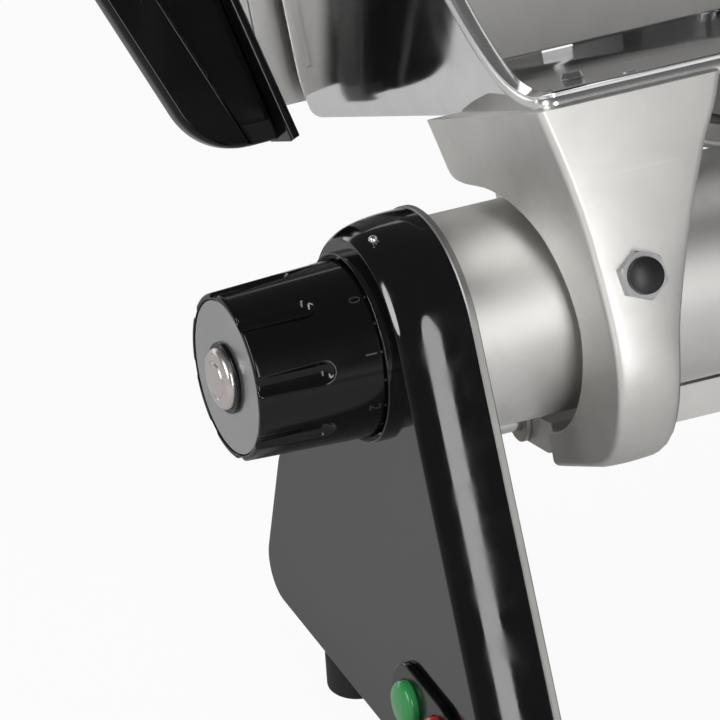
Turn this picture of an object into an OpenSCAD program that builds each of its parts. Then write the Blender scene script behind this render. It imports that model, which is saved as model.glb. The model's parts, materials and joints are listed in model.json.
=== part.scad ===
// Gravity-feed food slicer, in millimetres, +Z up, +X to the operator's right, +Y to the back.
// Most pieces are placed from the beam axis: the line of the knob, spindle and beam tube.

/* [Stance] */
// Lean of the blade and the carriage from upright, in degrees
tilt = 30; // [24:1:36]
// Height of the beam axis above the floor
axis_h = 177; // [164:1:184]
// Beam axis to the right of the origin
axis_x = 102; // [60:1:140]
// Front face of the knob, measured from the origin
front_y = -253; // [-290:1:-220]

/* [Thickness knob] */
// Diameter of the knob at its front rim
knob_front_d = 64; // [62:0.5:66]
// Diameter of the knob at its rear edge
knob_rear_d = 68; // [66:0.5:72]
// Length of the knob
knob_len = 52; // [46:1:60]
// Number of finger flutes
flute_count = 8; // [6:1:12]
// Angle of the first flute above the operator's right
first_flute = 23; // [0:1:60]
// Diameter of the cutter that makes a flute
flute_d = 10; // [8:0.5:12]
// Depth of a flute at the front rim
flute_depth = 1.6; // [1:0.1:2]
// Length of a flute
flute_len = 31; // [20:1:38]
// Diameter of the inset face disc
disc_d = 59; // [54:0.5:59.5]
// Diameter of the metal cap
cap_d = 24; // [18:0.5:30]
// Diameter of the spindle
spindle_d = 12; // [10:0.5:16]

/* [Uprights] */
// Radius of the arch round the beam axis
arch_r = 46.5; // [45:0.5:54]
// Height of the feet under the uprights
foot_h = 16; // [12:1:24]
// Beam axis out to the left side at the foot
upright_left = 90; // [80:1:100]
// Radius of the bottom corners
corner_r = 20; // [14:1:24]
// Depth of the casting
upright_depth = 28; // [24:1:34]
// Rounding of the outer edge
upright_edge = 12; // [6:1:14]
// Wall of the casting
upright_wall = 6; // [4:0.5:8]
// Thickness of the bare metal back plate
plate_t = 3; // [2:0.5:5]
// How far the back plate stands proud of the casting
plate_proud = 1.5; // [0.5:0.5:3]

/* [Beam] */
// Outer diameter of the beam tube
tube_d = 83.2; // [78:0.2:86]
// Wall of the beam tube
tube_wall = 5; // [3:0.5:8]
// Length of the beam tube between the back plates
tube_len = 385; // [370:1:410]
// Diameter of the guide rod
rod_d = 12; // [10:0.5:14]
// Guide rod to the left of the beam axis
rod_left = 8; // [6:0.5:12]
// Guide rod below the beam axis
rod_drop = 53; // [53:0.5:56]

/* [Carriage] */
// Inner radius of the arm round the beam
arm_bore_r = 48.5; // [47:0.5:52]
// Beam axis out to the arm's outer face
arm_reach = 80; // [74:1:88]
// Beam axis to the arm's left end, over the beam
arm_left = 36; // [28:1:40]
// Beam axis to the bottom of the arm's hook
hook_drop = 62; // [60:0.5:68]
// Depth of the arm at its neck
neck_depth = 34; // [30:1:38]
// Depth of the arm's hook
hook_depth = 27; // [24:1:30]
// Depth of the arm under the tray
crown_depth = 70; // [60:1:80]
// Rounding of the arm's edges
arm_edge = 7; // [4:0.5:8]
// Front of the arm's neck behind the knob's front face
arm_y = 124; // [120:1:132]
// Length of the slider on the guide rod
slider_len = 110; // [90:1:120]
// Width across the flats of the lock bush
bush_flats = 17; // [15:0.5:20]
// Diameter of the lock plunger
plunger_d = 14; // [11:0.5:14]

/* [Tray] */
// Beam axis to the underside of the tray
tray_rise = 74; // [72:0.5:80]
// Width of the tray along its slope
tray_w = 255; // [240:1:258]
// Depth of the tray, front to back
tray_d = 230; // [200:1:236]
// Thickness of the tray
tray_t = 4; // [3:0.5:6]
// Height of the tray's front wall
tray_wall_h = 66; // [40:1:80]
// Radius of the bend under the front wall
tray_bend = 12; // [8:1:16]
// Front of the tray behind the knob's front face
tray_y = 115; // [112:1:120]
// Gap between the tray's low end and the cutting plane
tray_gap = 6; // [4:0.5:8]

/* [Blade] */
// Diameter of the blade
blade_d = 250; // [240:1:254]
// Thickness of the blade
blade_t = 4; // [3:0.5:5]
// Cutting plane to the left of the beam axis, along the slope
cut_left = 184; // [182:0.5:188]
// Blade centre above the beam axis, square to the slope
blade_rise = 155; // [150:1:162]
// Blade centre behind the knob's front face
blade_y = 330; // [326:1:336]
// Diameter of the round cover on the blade
cover_d = 178; // [150:1:196]

/* [Gauge plate] */
// Largest slice thickness
slice_max = 14; // [10:0.5:14]
// Turn of the knob over the whole dial, in degrees
dial_turn = 300; // [240:5:310]
// Thickness of the gauge plate
gauge_t = 8; // [6:0.5:9]
// Front edge of the gauge plate behind the knob's front face
gauge_y = 62; // [60:1:90]
// Height of the gauge plate
gauge_h = 180; // [150:1:190]

/* [Drive] */
// Diameter of the motor
motor_d = 76; // [66:1:78]
// Length of the motor
motor_len = 80; // [70:1:84]
// Motor axis behind the blade axis
motor_back = 96; // [94:1:100]
// Pitch diameter of the blade pulley
blade_pulley_d = 60; // [50:1:70]
// Pitch diameter of the motor pulley
motor_pulley_d = 28; // [24:1:32]

/* [Hidden] */

$fn = 64;
hull_fn = 40;
fit = 0.05;
gap = 0.3;

// Beam and uprights, measured from the knob's front face
tube_r = tube_d / 2;
tube_in_r = tube_r - tube_wall;
knob_gap = 2;
upright_y = knob_len + knob_gap;
plate_y = upright_y + upright_depth;
tube_y = plate_y + plate_t;
rear_plate_y = tube_y + tube_len;
rear_upright_y = rear_plate_y + plate_t;
rear_end_y = rear_upright_y + upright_depth;
spindle_r = spindle_d / 2;
rod_r = rod_d / 2;

upright_drop = axis_h - foot_h;

// Round corners of an upright: x, z and radius, with the right side parallel to the blade
left_x = -(upright_left - corner_r);
low_z = -(upright_drop - corner_r);
right_x = (arch_r - corner_r - low_z * sin(tilt)) / cos(tilt);
waist_in = 9;
waist_z = 0.7 * low_z;
upright_corners = [
  [0, 0, arch_r],
  [left_x + waist_in, waist_z, corner_r],
  [left_x, low_z, corner_r],
  [right_x, low_z, corner_r]
];

// Collar and index pin
collar_r = arch_r - 4;
collar_h = 4;
collar_in_r = knob_rear_d / 2 + 1.5;
index_d = 3.6;

// Switch on the front upright
switch_x = 66;
switch_z = -(upright_drop - 34);
button_d = 18;
button_pitch = 27;
bezel_w = 58;
bezel_h = 30;
bezel_t = 3;
button_proud = 5;
button_len = 18;

// Base
pan_t = 6;
pan_front_y = 300;
pan_left = 302;
pan_right = right_x + corner_r - 4;
pan_corner = 18;
pan_top = -(upright_drop + plate_proud);
floor_z = -axis_h;
foot_d = 24;
foot_inset = 26;
front_foot_in = 34;
foot_y = upright_y + upright_depth / 2 + 1;
foot_places = [
  [left_x + front_foot_in, foot_y, -upright_drop],
  [right_x - 4, foot_y, -upright_drop],
  [foot_inset - pan_left, pan_front_y + foot_inset, pan_top - pan_t],
  [foot_inset - pan_left, rear_end_y - foot_inset, pan_top - pan_t],
  [pan_right - foot_inset, rear_end_y - foot_inset, pan_top - pan_t]
];
gland_x = 60;
gland_z = -(upright_drop - 44);
gland_r = 9;
gland_bore = 4;

// Scroll that moves the gauge plate
cam_y = 217;
cam_t = 12;
cam_r = tube_in_r - 3;
groove_in_r = 14;
groove_w = 6.6;
groove_depth = 7;
groove_floor_gap = 0.5;
groove_over = 14;
groove_steps = 72;
pin_d = 6;
gauge_rod_d = 12;
gauge_rod_y = cam_y - 8;
gauge_rod_end = groove_in_r - 5;
guide_d = 24;
guide_flange_d = 34;
guide_len = 34;
spindle_plate_y = cam_y + cam_t + 3;
spindle_plate_t = 8;
spindle_back = 4;
bracket_t = 12;
bracket_w = 26;
bracket_foot = 16;
bracket_rise = 96;
gauge_low = 80;
gauge_end = 60;
gauge_leg = 58;
gauge_screw_in = 10;
gauge_rib_count = 9;
gauge_rib_w = 2;
gauge_rib_depth = 1.2;

// Blade and head, along the slope from the beam axis
blade_r = blade_d / 2;
blade_back = cut_left + blade_t;
blade_clear = 3;
guard_in_r = blade_r + blade_clear;
guard_r = guard_in_r + 9;
guard_seat_r = blade_r - 7;
guard_t = 4;
guard_hole_r = 46;
guard_back = blade_back + 20;
head_front = guard_back;
head_wall = 32;
belt_bay = 22;
cover_t = 6;
head_r = 60;
bay_wall = 7;
head_back = head_front + head_wall + belt_bay;
motor_r = motor_d / 2;
can_wall = 3;
can_gap = 2;
can_r = motor_r + can_gap + can_wall;
can_bite = 4.4;
motor_away = guard_r + can_r - can_bite;
motor_y = blade_y + motor_back;
motor_rise = blade_rise - sqrt(motor_away ^ 2 - motor_back ^ 2);
bearing_d = 42;
bearing_t = 12;
shaft_d = 20;
stud_d = 8;
stud_grip = 12;
motor_shaft_d = 12;
belt_w = 10;
belt_t = 4;
belt_mid = head_front + head_wall + belt_bay / 2;
bearing_places = [head_front + 4 + bearing_t, head_front + head_wall];
open_from = -60;
open_to = 66;

// Carriage, measured in the leaning frame
rod_p = -rod_left * cos(tilt) - rod_drop * sin(tilt);
rod_n = rod_left * sin(tilt) - rod_drop * cos(tilt);
bush_d = 18;
bush_len = 22;
slider_right = -4;
slider_left = rod_p - bush_d / 2 - 7;
slider_low = rod_n - bush_d / 2 - 6;
slider_high = rod_n + bush_d / 2 + 3;
lock_back = 15;
arm_mid_y = arm_y + lock_back;
crown_y = arm_y - 10;
shoe_w = 18;
shoe_len = 22;
shoe_top = arm_bore_r + 8;
lock_n = 8;
bush_t = 5;
plunger_travel = 4;
plunger_len = 22;
plunger_proud = 4;
plunger_bore_len = plunger_len + plunger_travel - bush_t - plunger_proud + 2;
tray_low = tray_gap - cut_left;
tray_reach = tray_low + tray_w;
tray_top = tray_rise + tray_t;
lip_h = 9;
post_w = 20;
post_rise = 46;
pusher_rod_d = 12;
pusher_rod_y = tray_y + tray_d + pusher_rod_d / 2 + 4;
pusher_rod_n = tray_top + post_rise - 12;
carrier_w = 46;
carrier_d = 26;
carrier_gap = 4;
carrier_p = tray_low + post_w + carrier_gap;
hub_w = 18;
hub_r = 11;
pusher_t = 5;
pusher_h = 92;
pusher_clear = 4;
spike_d = 3;
spike_len = 5;
spike_cols = 6;
spike_rows = 3;
pusher_in = 14;
pusher_y = tray_y + tray_t + pusher_in - pusher_rod_y;
grip_d = 30;
grip_h = 64;

// Handle on the low front corner of the tray
handle_p = tray_low + 14;
handle_y = tray_y - 30;
handle_n = tray_rise + 24;
handle_half = 12;
handle_lean = 22;
handle_round = 28;
handle_len = 78;

ink = [0.03, 0.03, 0.035];
satin = [0.72, 0.72, 0.71];
bright = [0.82, 0.82, 0.83];
steel = [0.6, 0.61, 0.63];
rubber = [0.06, 0.06, 0.06];
nylon = [0.9, 0.89, 0.84];

// Frames of reference
module at_beam() { translate([axis_x, front_y, axis_h]) children(); }
module leaning() { at_beam() rotate([0, -tilt, 0]) children(); }

// A cylinder along +Y that starts at the given distance back
module rod_y(r, from, len) { translate([0, from, 0]) rotate([-90, 0, 0]) cylinder(r = r, h = len); }

// A cylinder along +X that starts at the given place
module rod_x(r, from, len) { translate([from, 0, 0]) rotate([0, 90, 0]) cylinder(r = r, h = len); }

// A solid of revolution about +Y
module turned_y(from) { translate([0, from, 0]) rotate([-90, 0, 0]) rotate_extrude() children(); }

// A solid of revolution about +X
module turned_x(from) { translate([from, 0, 0]) rotate([0, 90, 0]) rotate_extrude() children(); }

// A disc along +Y whose front edge is rounded
module soft_disc(r, depth, edge) {
  arc = [for (a = [90 : -15 : 0]) [r - edge + edge * cos(a), edge - edge * sin(a)]];
  rotate([-90, 0, 0]) rotate_extrude($fn = hull_fn) polygon(concat([[0, 0]], arc, [[r, depth], [0, depth]]));
}

// The outline of an upright, grown or shrunk, with a rounded front edge
module upright_form(grow, depth, edge) {
  hull() for (c = upright_corners) translate([c.x, 0, c.y]) soft_disc(c[2] + grow, depth, edge);
}

// Casting, open at the back, with a boss for the spindle; the front is at y = 0
module upright_casting() {
  boss_r = spindle_r + 9;
  difference() {
    upright_form(0, upright_depth, upright_edge);
    translate([0, upright_wall, 0]) upright_form(-upright_wall, upright_depth, upright_edge / 2);
  }
  difference() {
    rod_y(boss_r, upright_wall - 1, upright_depth - upright_wall + 1);
    rod_y(spindle_r + fit, upright_wall - 2, upright_depth);
  }
}

module front_upright() {
  color(ink) at_beam() difference() {
    translate([0, upright_y, 0]) upright_casting();
    rod_y(spindle_r + fit, upright_y - 1, upright_depth);
    for (s = [-1, 1]) translate([switch_x + s * button_pitch / 2, 0, switch_z])
      rod_y(button_d / 2 + 0.5, upright_y - 1, upright_wall + 2);
    index_hole();
  }
}

module front_backplate() {
  color(satin) at_beam() difference() {
    translate([0, plate_y, 0]) upright_form(plate_proud, plate_t, 0.6);
    rod_y(spindle_r + fit, plate_y - 1, plate_t + 2);
    translate([-rod_left, 0, -rod_drop]) rod_y(rod_r, plate_y - 1, plate_t + 2);
  }
}

module knob_collar() {
  r = collar_r;
  soft = 2.5;
  color(ink) at_beam() turned_y(upright_y - collar_h) difference() {
    translate([collar_in_r, 0]) square([r - collar_in_r, collar_h]);
    difference() {
      translate([r - soft, -1]) square([soft + 1, soft + 1]);
      translate([r - soft, soft]) circle(r = soft);
    }
  }
}

// The index pin stands square to the rounded edge at the top of the arch
module at_index() {
  top = arch_r - upright_edge * (1 - sin(60));
  translate([0, upright_y + upright_edge * (1 - cos(60)), top]) rotate([30, 0, 0]) children();
}

module index_hole() { at_index() translate([0, 0, -4]) cylinder(d = index_d, h = 8); }

module index_pin() {
  color(bright) at_beam() at_index() {
    translate([0, 0, -4]) cylinder(d = index_d, h = 4.4);
    translate([0, 0, 0.4]) intersection() {
      sphere(d = index_d);
      translate([0, 0, index_d / 2]) cube(index_d, center = true);
    }
  }
}

module beam_tube() {
  color(satin) at_beam() difference() {
    rod_y(tube_r, tube_y, tube_len);
    rod_y(tube_in_r, tube_y - 1, tube_len + 2);
    translate([0, gauge_rod_y, 0]) rotate([0, -tilt, 0]) rod_x(guide_d / 2, -tube_r - 2, tube_wall + 8);
  }
}

module guide_rod() {
  len = rear_end_y - plate_y - upright_wall;
  color(bright) at_beam() translate([-rod_left, 0, -rod_drop]) rod_y(rod_r, plate_y, len);
}

module rear_upright() {
  color(ink) at_beam() difference() {
    translate([0, rear_end_y, 0]) mirror([0, 1, 0]) upright_casting();
    translate([gland_x, 0, gland_z]) rod_y(gland_r, rear_end_y - upright_wall - 1, upright_wall + 2);
  }
}

module rear_backplate() {
  color(satin) at_beam() difference() {
    translate([0, rear_plate_y, 0]) upright_form(plate_proud, plate_t, 0.6);
    translate([-rod_left, 0, -rod_drop]) rod_y(rod_r, rear_plate_y - 1, plate_t + 2);
  }
}

module base_pan() {
  x0 = -pan_left + pan_corner;
  x1 = pan_right - pan_corner;
  y0 = pan_front_y + pan_corner;
  y1 = rear_end_y - pan_corner;
  color(ink) at_beam() translate([0, 0, pan_top - pan_t]) linear_extrude(pan_t)
    hull() for (x = [x0, x1], y = [y0, y1]) translate([x, y]) circle(r = pan_corner);
}

// Feet: x, y and the height of what stands on them
module rubber_feet() {
  flare = 2;
  color(rubber) at_beam() for (f = foot_places) translate([f.x, f.y, floor_z])
    cylinder(d1 = foot_d - flare, d2 = foot_d, h = f.z - floor_z);
}

module spindle_plate() {
  color(satin) at_beam() difference() {
    rod_y(tube_in_r, spindle_plate_y, spindle_plate_t);
    rod_y(spindle_r + fit, spindle_plate_y - 1, spindle_plate_t + 2);
  }
}

// Flanged bush in the beam's left wall, which guides the gauge rod
module gauge_guide() {
  flange_t = 5;
  start = -tube_r - guide_len;
  color(satin) leaning() translate([0, gauge_rod_y, 0]) difference() {
    union() {
      rod_x(guide_d / 2, start, guide_len + tube_wall);
      rod_x(guide_flange_d / 2, start, flange_t);
    }
    rod_x(gauge_rod_d / 2 + fit, start - 1, guide_len + tube_wall + 2);
  }
}

module switch_bezel() {
  r = bezel_h / 2;
  mid = bezel_w / 2 - r;
  color(ink) at_beam() translate([switch_x, upright_y - bezel_t, switch_z]) difference() {
    rotate([-90, 0, 0]) linear_extrude(bezel_t) {
      square([2 * mid, bezel_h], center = true);
      for (s = [-1, 1]) translate([s * mid, 0]) circle(r = r);
    }
    for (s = [-1, 1]) translate([s * button_pitch / 2, 0, 0]) rod_y(button_d / 2 + fit, -1, bezel_t + 2);
  }
}

// A push button with a domed front, which slides in the bezel
module push_button(side, tint) {
  r = button_d / 2;
  dome = 1.6;
  color(tint) at_beam() translate([switch_x + side * button_pitch / 2, 0, switch_z])
    turned_y(upright_y - bezel_t - button_proud)
      polygon([[0, 0], [r - 4, 0.3], [r - dome, 0.9], [r, 0.9 + dome], [r, button_len], [0, button_len]]);
}

module start_button() { push_button(-1, [0.1, 0.5, 0.2]); }
module stop_button() { push_button(1, [0.7, 0.08, 0.06]); }

module cable_gland() {
  nut_d = gland_r * 2 + 8;
  nut_t = 6;
  color(rubber) at_beam() translate([gland_x, 0, gland_z]) difference() {
    union() {
      rod_y(gland_r, rear_end_y - upright_wall - 2, upright_wall + 2);
      translate([0, rear_end_y, 0]) rotate([-90, 0, 0]) cylinder(d = nut_d, h = nut_t, $fn = 6);
      rod_y(gland_r, rear_end_y + nut_t, 4);
    }
    rod_y(gland_bore, rear_end_y - upright_wall - 3, upright_wall + nut_t + 10);
  }
}

// The part of the leaning frame that lies above a level of the upright frame
module above(level) {
  reach = 1000;
  at_beam() translate([-reach, -reach, level]) cube(2 * reach);
}

// Outline of the head round the blade axis and the motor axis, seen along the slope
module head_outline(r) {
  hull() {
    translate([blade_y, blade_rise]) circle(r = r);
    translate([motor_y, motor_rise]) circle(r = r);
  }
}

module along_x(from, len) { translate([from, 0, 0]) rotate([90, 0, 90]) linear_extrude(len) children(); }
module at_blade() { leaning() translate([0, blade_y, blade_rise]) children(); }
module at_motor() { leaning() translate([0, motor_y, motor_rise]) children(); }

module head_casting() {
  color(ink) difference() {
    intersection() {
      leaning() along_x(-head_back, head_wall + belt_bay) head_outline(head_r);
      above(pan_top);
    }
    intersection() {
      leaning() along_x(-head_back - 1, belt_bay + 1) head_outline(head_r - bay_wall);
      above(pan_top + bay_wall);
    }
    at_blade() rod_x(bearing_d / 2, -head_back, head_wall + belt_bay + 1);
    at_motor() rod_x(motor_shaft_d / 2 + 1, -head_back, head_wall + belt_bay + 1);
  }
}

module belt_cover() {
  soft = 4;
  color(ink) difference() {
    intersection() {
      leaning() hull() for (c = [[blade_y, blade_rise], [motor_y, motor_rise]])
        translate([-head_back - cover_t, c[0], c[1]]) rotate([0, 0, -90]) soft_disc(head_r, cover_t, soft);
      above(pan_top);
    }
    at_blade() rod_x(stud_d / 2, -head_back - cover_t - 1, cover_t + 2);
  }
}

module motor() {
  color(steel) at_motor() difference() {
    rod_x(motor_r, -head_front, motor_len);
    rod_x(motor_shaft_d / 2 + fit, -head_front - 1, motor_len - 20);
  }
}

// Cup over the motor, with cooling slots in its end
module motor_housing() {
  len = motor_len + can_gap + can_wall;
  slot_w = 5;
  slot_l = motor_d * 0.55;
  color(ink) at_motor() difference() {
    rod_x(can_r, -head_front, len);
    rod_x(can_r - can_wall, -head_front - 1, len - can_wall + 1);
    for (i = [-2 : 2]) translate([-head_front + len - can_wall - 1, i * 2 * slot_w - slot_w / 2, -slot_l / 2])
      cube([can_wall + 2, slot_w, slot_l]);
  }
}

module blade_bearings() {
  color(steel) at_blade() for (p = bearing_places) difference() {
    rod_x(bearing_d / 2, -p, bearing_t);
    rod_x(shaft_d / 2 + fit, -p - 1, bearing_t + 2);
  }
}

// Open belt round both pulleys
module drive_belt() {
  color(rubber) leaning() along_x(-belt_mid - belt_w / 2, belt_w) difference() {
    belt_outline(belt_t + gap);
    belt_outline(gap);
  }
}

module belt_outline(grow) {
  hull() {
    translate([blade_y, blade_rise]) circle(d = blade_pulley_d + 2 * grow);
    translate([motor_y, motor_rise]) circle(d = motor_pulley_d + 2 * grow);
  }
}

// Wedge in front of the blade, where it cuts
module cutting_wedge(r) {
  steps = 6;
  turn = [for (i = [0 : steps]) open_from + (open_to - open_from) * i / steps];
  polygon([for (a = turn) [-r * cos(a), r * sin(a)], [0, 0]]);
}

module blade_guard() {
  rim_front = -cut_left + 2;
  far = 2 * guard_r;
  color(satin) difference() {
    at_blade() difference() {
      rod_x(guard_r, -guard_back, guard_back + rim_front);
      rod_x(guard_in_r, -guard_back + guard_t, guard_back + rim_front);
      rod_x(guard_hole_r, -guard_back - 1, guard_t + 2);
      along_x(-guard_back - 1, guard_back + rim_front + 2) difference() {
        cutting_wedge(far);
        circle(r = guard_seat_r);
      }
    }
    at_motor() rod_x(can_r + 1, -guard_back - 1, guard_back);
  }
}

module upright_screws() {
  r = 5;
  t = 3;
  socket_r = 2.2;
  socket_depth = 1.8;
  color(steel) at_beam() for (c = [[0, arch_r / 2], [left_x, low_z], [right_x - corner_r, low_z]])
    translate([c.x, 0, c.y]) turned_y(rear_end_y) difference() {
      square([r, t]);
      translate([0, t - socket_depth]) square([socket_r, t]);
    }
}

// A round-ended cutter along +Y for one finger flute
module flute_cutter() {
  r = flute_d / 2;
  tip = [for (a = [0 : 15 : 90]) [r * cos(a), flute_len - r + r * sin(a)]];
  turned_y(0) polygon(concat([[0, -1], [r, -1]], tip));
}

module thickness_knob() {
  r0 = knob_front_d / 2;
  r1 = knob_rear_d / 2;
  inset = 1.5;
  soft = 1.5;
  recess_r = disc_d / 2 + 0.3;
  color(ink) at_beam() difference() {
    turned_y(0) polygon([[spindle_r, inset], [recess_r, inset], [recess_r, 0], [r0 - soft, 0], [r0, soft],
      [r1, knob_len - 1], [r1 - 1, knob_len], [spindle_r, knob_len]]);
    for (i = [0 : flute_count - 1]) rotate([0, -first_flute - i * 360 / flute_count, 0])
      translate([r0 + flute_d / 2 - flute_depth, 0, 0]) flute_cutter();
  }
}

module knob_face_disc() {
  ring_r = cap_d / 2 + 1.5;
  color([0.55, 0.55, 0.56]) at_beam() turned_y(0) difference() {
    translate([ring_r, 0.3]) square([disc_d / 2 - ring_r, 1.2]);
    translate([disc_d / 2 - 0.4, -0.1]) square(0.5);
  }
}

module knob_cap() {
  r = cap_d / 2;
  rise = 5;
  color(bright) at_beam() turned_y(-rise) polygon([[0, 0.6], [4, 0.3], [6.6, 0.5], [7, 1.2], [r - 2.5, 1.6],
    [r - 0.6, 2.6], [r, 3.6], [r, rise + 1.5], [spindle_r, rise + 1.5], [spindle_r, rise], [0, rise]]);
}

module knob_spindle() {
  color(steel) at_beam() rod_y(spindle_r, 0, spindle_plate_y + spindle_plate_t + spindle_back);
}

// Centre line of the scroll groove: its radius grows evenly as the knob turns
function groove_at(a) = groove_in_r + slice_max * a / dial_turn;
function groove_edge(a, side) = (groove_at(a) + side * groove_w / 2) * [-cos(a), sin(a)];

// The groove in the disc's front face starts at the gauge rod's side
module scroll_groove() {
  span = dial_turn + 2 * groove_over;
  turn = [for (i = [0 : groove_steps]) -groove_over + span * i / groove_steps];
  outer = [for (a = turn) groove_edge(a, 1)];
  inner = [for (i = [groove_steps : -1 : 0]) groove_edge(turn[i], -1)];
  polygon(concat(outer, inner));
}

module scroll_cam() {
  color(steel) leaning() difference() {
    rod_y(cam_r, cam_y, cam_t);
    rod_y(spindle_r, cam_y - 1, cam_t + 2);
    translate([0, cam_y + groove_depth, 0]) rotate([90, 0, 0])
      linear_extrude(groove_depth + 1) scroll_groove();
  }
}

module gauge_rod() {
  start = -cut_left - gauge_t - bracket_t;
  color(bright) leaning() translate([0, gauge_rod_y, 0]) difference() {
    rod_x(gauge_rod_d / 2, start, -gauge_rod_end - start);
    translate([-groove_in_r, 0, 0]) rod_y(pin_d / 2, -gauge_rod_d, 2 * gauge_rod_d);
  }
}

module follower_pin() {
  from = gauge_rod_y - gauge_rod_d / 2 + 1;
  to = cam_y + groove_depth - groove_floor_gap;
  color(steel) leaning() translate([-groove_in_r, 0, 0]) rod_y(pin_d / 2, from, to - from);
}

// Bracket from the gauge rod up to the back of the gauge plate, with a leg along its foot
module gauge_bracket() {
  y0 = gauge_rod_y - bracket_w / 2;
  y1 = gauge_rod_y + bracket_w / 2;
  leg_y = gauge_y + gauge_leg;
  leg_h = 14;
  color(satin) leaning() difference() {
    along_x(-cut_left - gauge_t - bracket_t, bracket_t)
      polygon([[y0 + 6, -bracket_foot], [y1 - 6, -bracket_foot], [y1, 6 - bracket_foot], [y1, bracket_rise],
        [leg_y, bracket_rise], [leg_y, bracket_rise - leg_h], [y0 - 18, bracket_rise - 2 * leg_h],
        [y0, bracket_rise - 4 * leg_h], [y0, 6 - bracket_foot]]);
    translate([0, gauge_rod_y, 0]) rod_x(gauge_rod_d / 2, -cut_left - gauge_t - bracket_t - 1, bracket_t + 2);
  }
}

module gauge_plate() {
  soft = 14;
  y1 = blade_y - gauge_end;
  color(bright) leaning() difference() {
    along_x(-cut_left - gauge_t, gauge_t) difference() {
      translate([gauge_y, gauge_low]) {
        translate([soft, 0]) square([y1 - gauge_y - soft, gauge_h]);
        translate([0, soft]) square([soft + 1, gauge_h - 2 * soft]);
        for (n = [soft, gauge_h - soft]) translate([soft, n]) circle(r = soft);
      }
      translate([blade_y, blade_rise]) circle(r = guard_in_r);
    }
    for (i = [1 : gauge_rib_count]) translate([-cut_left - gauge_rib_depth, gauge_y + 14 * i, gauge_low + 12])
      cube([gauge_rib_depth + 1, gauge_rib_w, gauge_h - 24]);
  }
}

module gauge_screws() {
  head_t = 2.5;
  color(steel) leaning() for (y = [gauge_rod_y, gauge_y + gauge_leg + gauge_screw_in])
    translate([0, y, bracket_rise - 7]) rod_x(4, -cut_left - gauge_t - bracket_t - head_t, head_t);
}

// Corners of one cross-section of the arm: p from and to, n, y from and to
module arm_station(s) {
  for (p = [s[0], s[1]], y = [s[3] + arm_edge, s[4] - arm_edge])
    translate([p, y, s[2]]) sphere(r = arm_edge, $fn = 20);
}

// One corner pair of the hook: an inner and an outer point, over the hook's depth
module hook_station(inner, outer) {
  for (c = [inner, outer], y = [arm_y + arm_edge, arm_y + hook_depth - arm_edge])
    translate([c[0], y, c[1]]) sphere(r = arm_edge, $fn = 20);
}

// Casting that wraps the right of the beam, from the hook under it to the crown under the tray
module carriage_arm() {
  e = arm_edge;
  p1 = arm_reach - e;
  neck_y1 = arm_y + neck_depth;
  turn_r = 45;
  turn_p = arm_reach - turn_r;
  turn_n = turn_r - hook_drop;
  flat = 0.89 * turn_r - e;
  inner = 0.62 * arm_bore_r;
  crown = [-arm_left + e, p1, tray_rise - e, crown_y, crown_y + crown_depth];
  shoulder = [-arm_left + e + 5, p1, arm_bore_r, crown_y + 5, crown_y + crown_depth - 9];
  waist = [inner, p1, 0.6 * arm_bore_r, arm_y - 1, (neck_y1 + shoulder[4]) / 2];
  neck = [inner, p1, 0.1 * arm_bore_r, arm_y, neck_y1];
  hip = [inner, p1, turn_n, arm_y, (neck_y1 + arm_y + hook_depth) / 2];
  bend = [for (a = [-30, -60]) [turn_p + flat * cos(a), turn_n + flat * sin(a)]];
  toe_n = e - hook_drop;
  heel = [turn_p, toe_n];
  bore_len = plunger_bore_len;
  color(satin) leaning() difference() {
    union() {
      hull() { arm_station(crown); arm_station(shoulder); }
      hull() { arm_station(shoulder); arm_station(waist); }
      hull() { arm_station(waist); arm_station(neck); }
      hull() { arm_station(neck); arm_station(hip); }
      hull() { arm_station(hip); hook_station([inner, -inner], bend[0]); }
      hull() { hook_station([inner, -inner], bend[0]); hook_station(heel, bend[1]); }
      hull() { hook_station(heel, bend[1]); hook_station([slider_right + e, toe_n], heel); }
    }
    rod_y(arm_bore_r, crown_y - 10, crown_depth + 20);
    translate([0, arm_mid_y, lock_n]) rod_x(plunger_d / 2 + gap, arm_reach - bore_len, bore_len + 1);
    translate([-shoe_w / 2, arm_mid_y - shoe_len / 2, 0]) cube([shoe_w, shoe_len, shoe_top]);
  }
}

module carriage_slider() {
  color(satin) leaning() difference() {
    translate([slider_left, arm_y, slider_low])
      cube([slider_right - slider_left, slider_len, slider_high - slider_low]);
    rod_y(tube_r + 4, arm_y - 1, slider_len + 2);
    translate([rod_p, 0, rod_n]) rod_y(bush_d / 2, arm_y - 1, slider_len + 2);
    for (y = [arm_y + hook_depth + 15, arm_y + slider_len - 42])
      translate([slider_right - 8, y, slider_low - 1]) cube([9, 30, slider_high - slider_low + 2]);
  }
}

module slider_bushes() {
  rim_t = 2;
  color([0.7, 0.6, 0.35]) leaning() translate([rod_p, 0, rod_n])
    for (y = [arm_y - rim_t, arm_y + slider_len - bush_len]) difference() {
      union() {
        rod_y(bush_d / 2, y, bush_len + rim_t);
        if (y < arm_y) rod_y(bush_d / 2 + 1.5, y, rim_t);
        else rod_y(bush_d / 2 + 1.5, y + bush_len, rim_t);
      }
      rod_y(rod_r + fit, y - 1, bush_len + 2 * rim_t);
    }
}

// Nylon shoe in the arm that rides on the top of the beam
module steady_shoe() {
  color(nylon) leaning() difference() {
    translate([-shoe_w / 2, arm_mid_y - shoe_len / 2, 0]) cube([shoe_w, shoe_len, shoe_top]);
    rod_y(tube_r + gap, arm_mid_y - shoe_len, 2 * shoe_len);
  }
}

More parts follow.
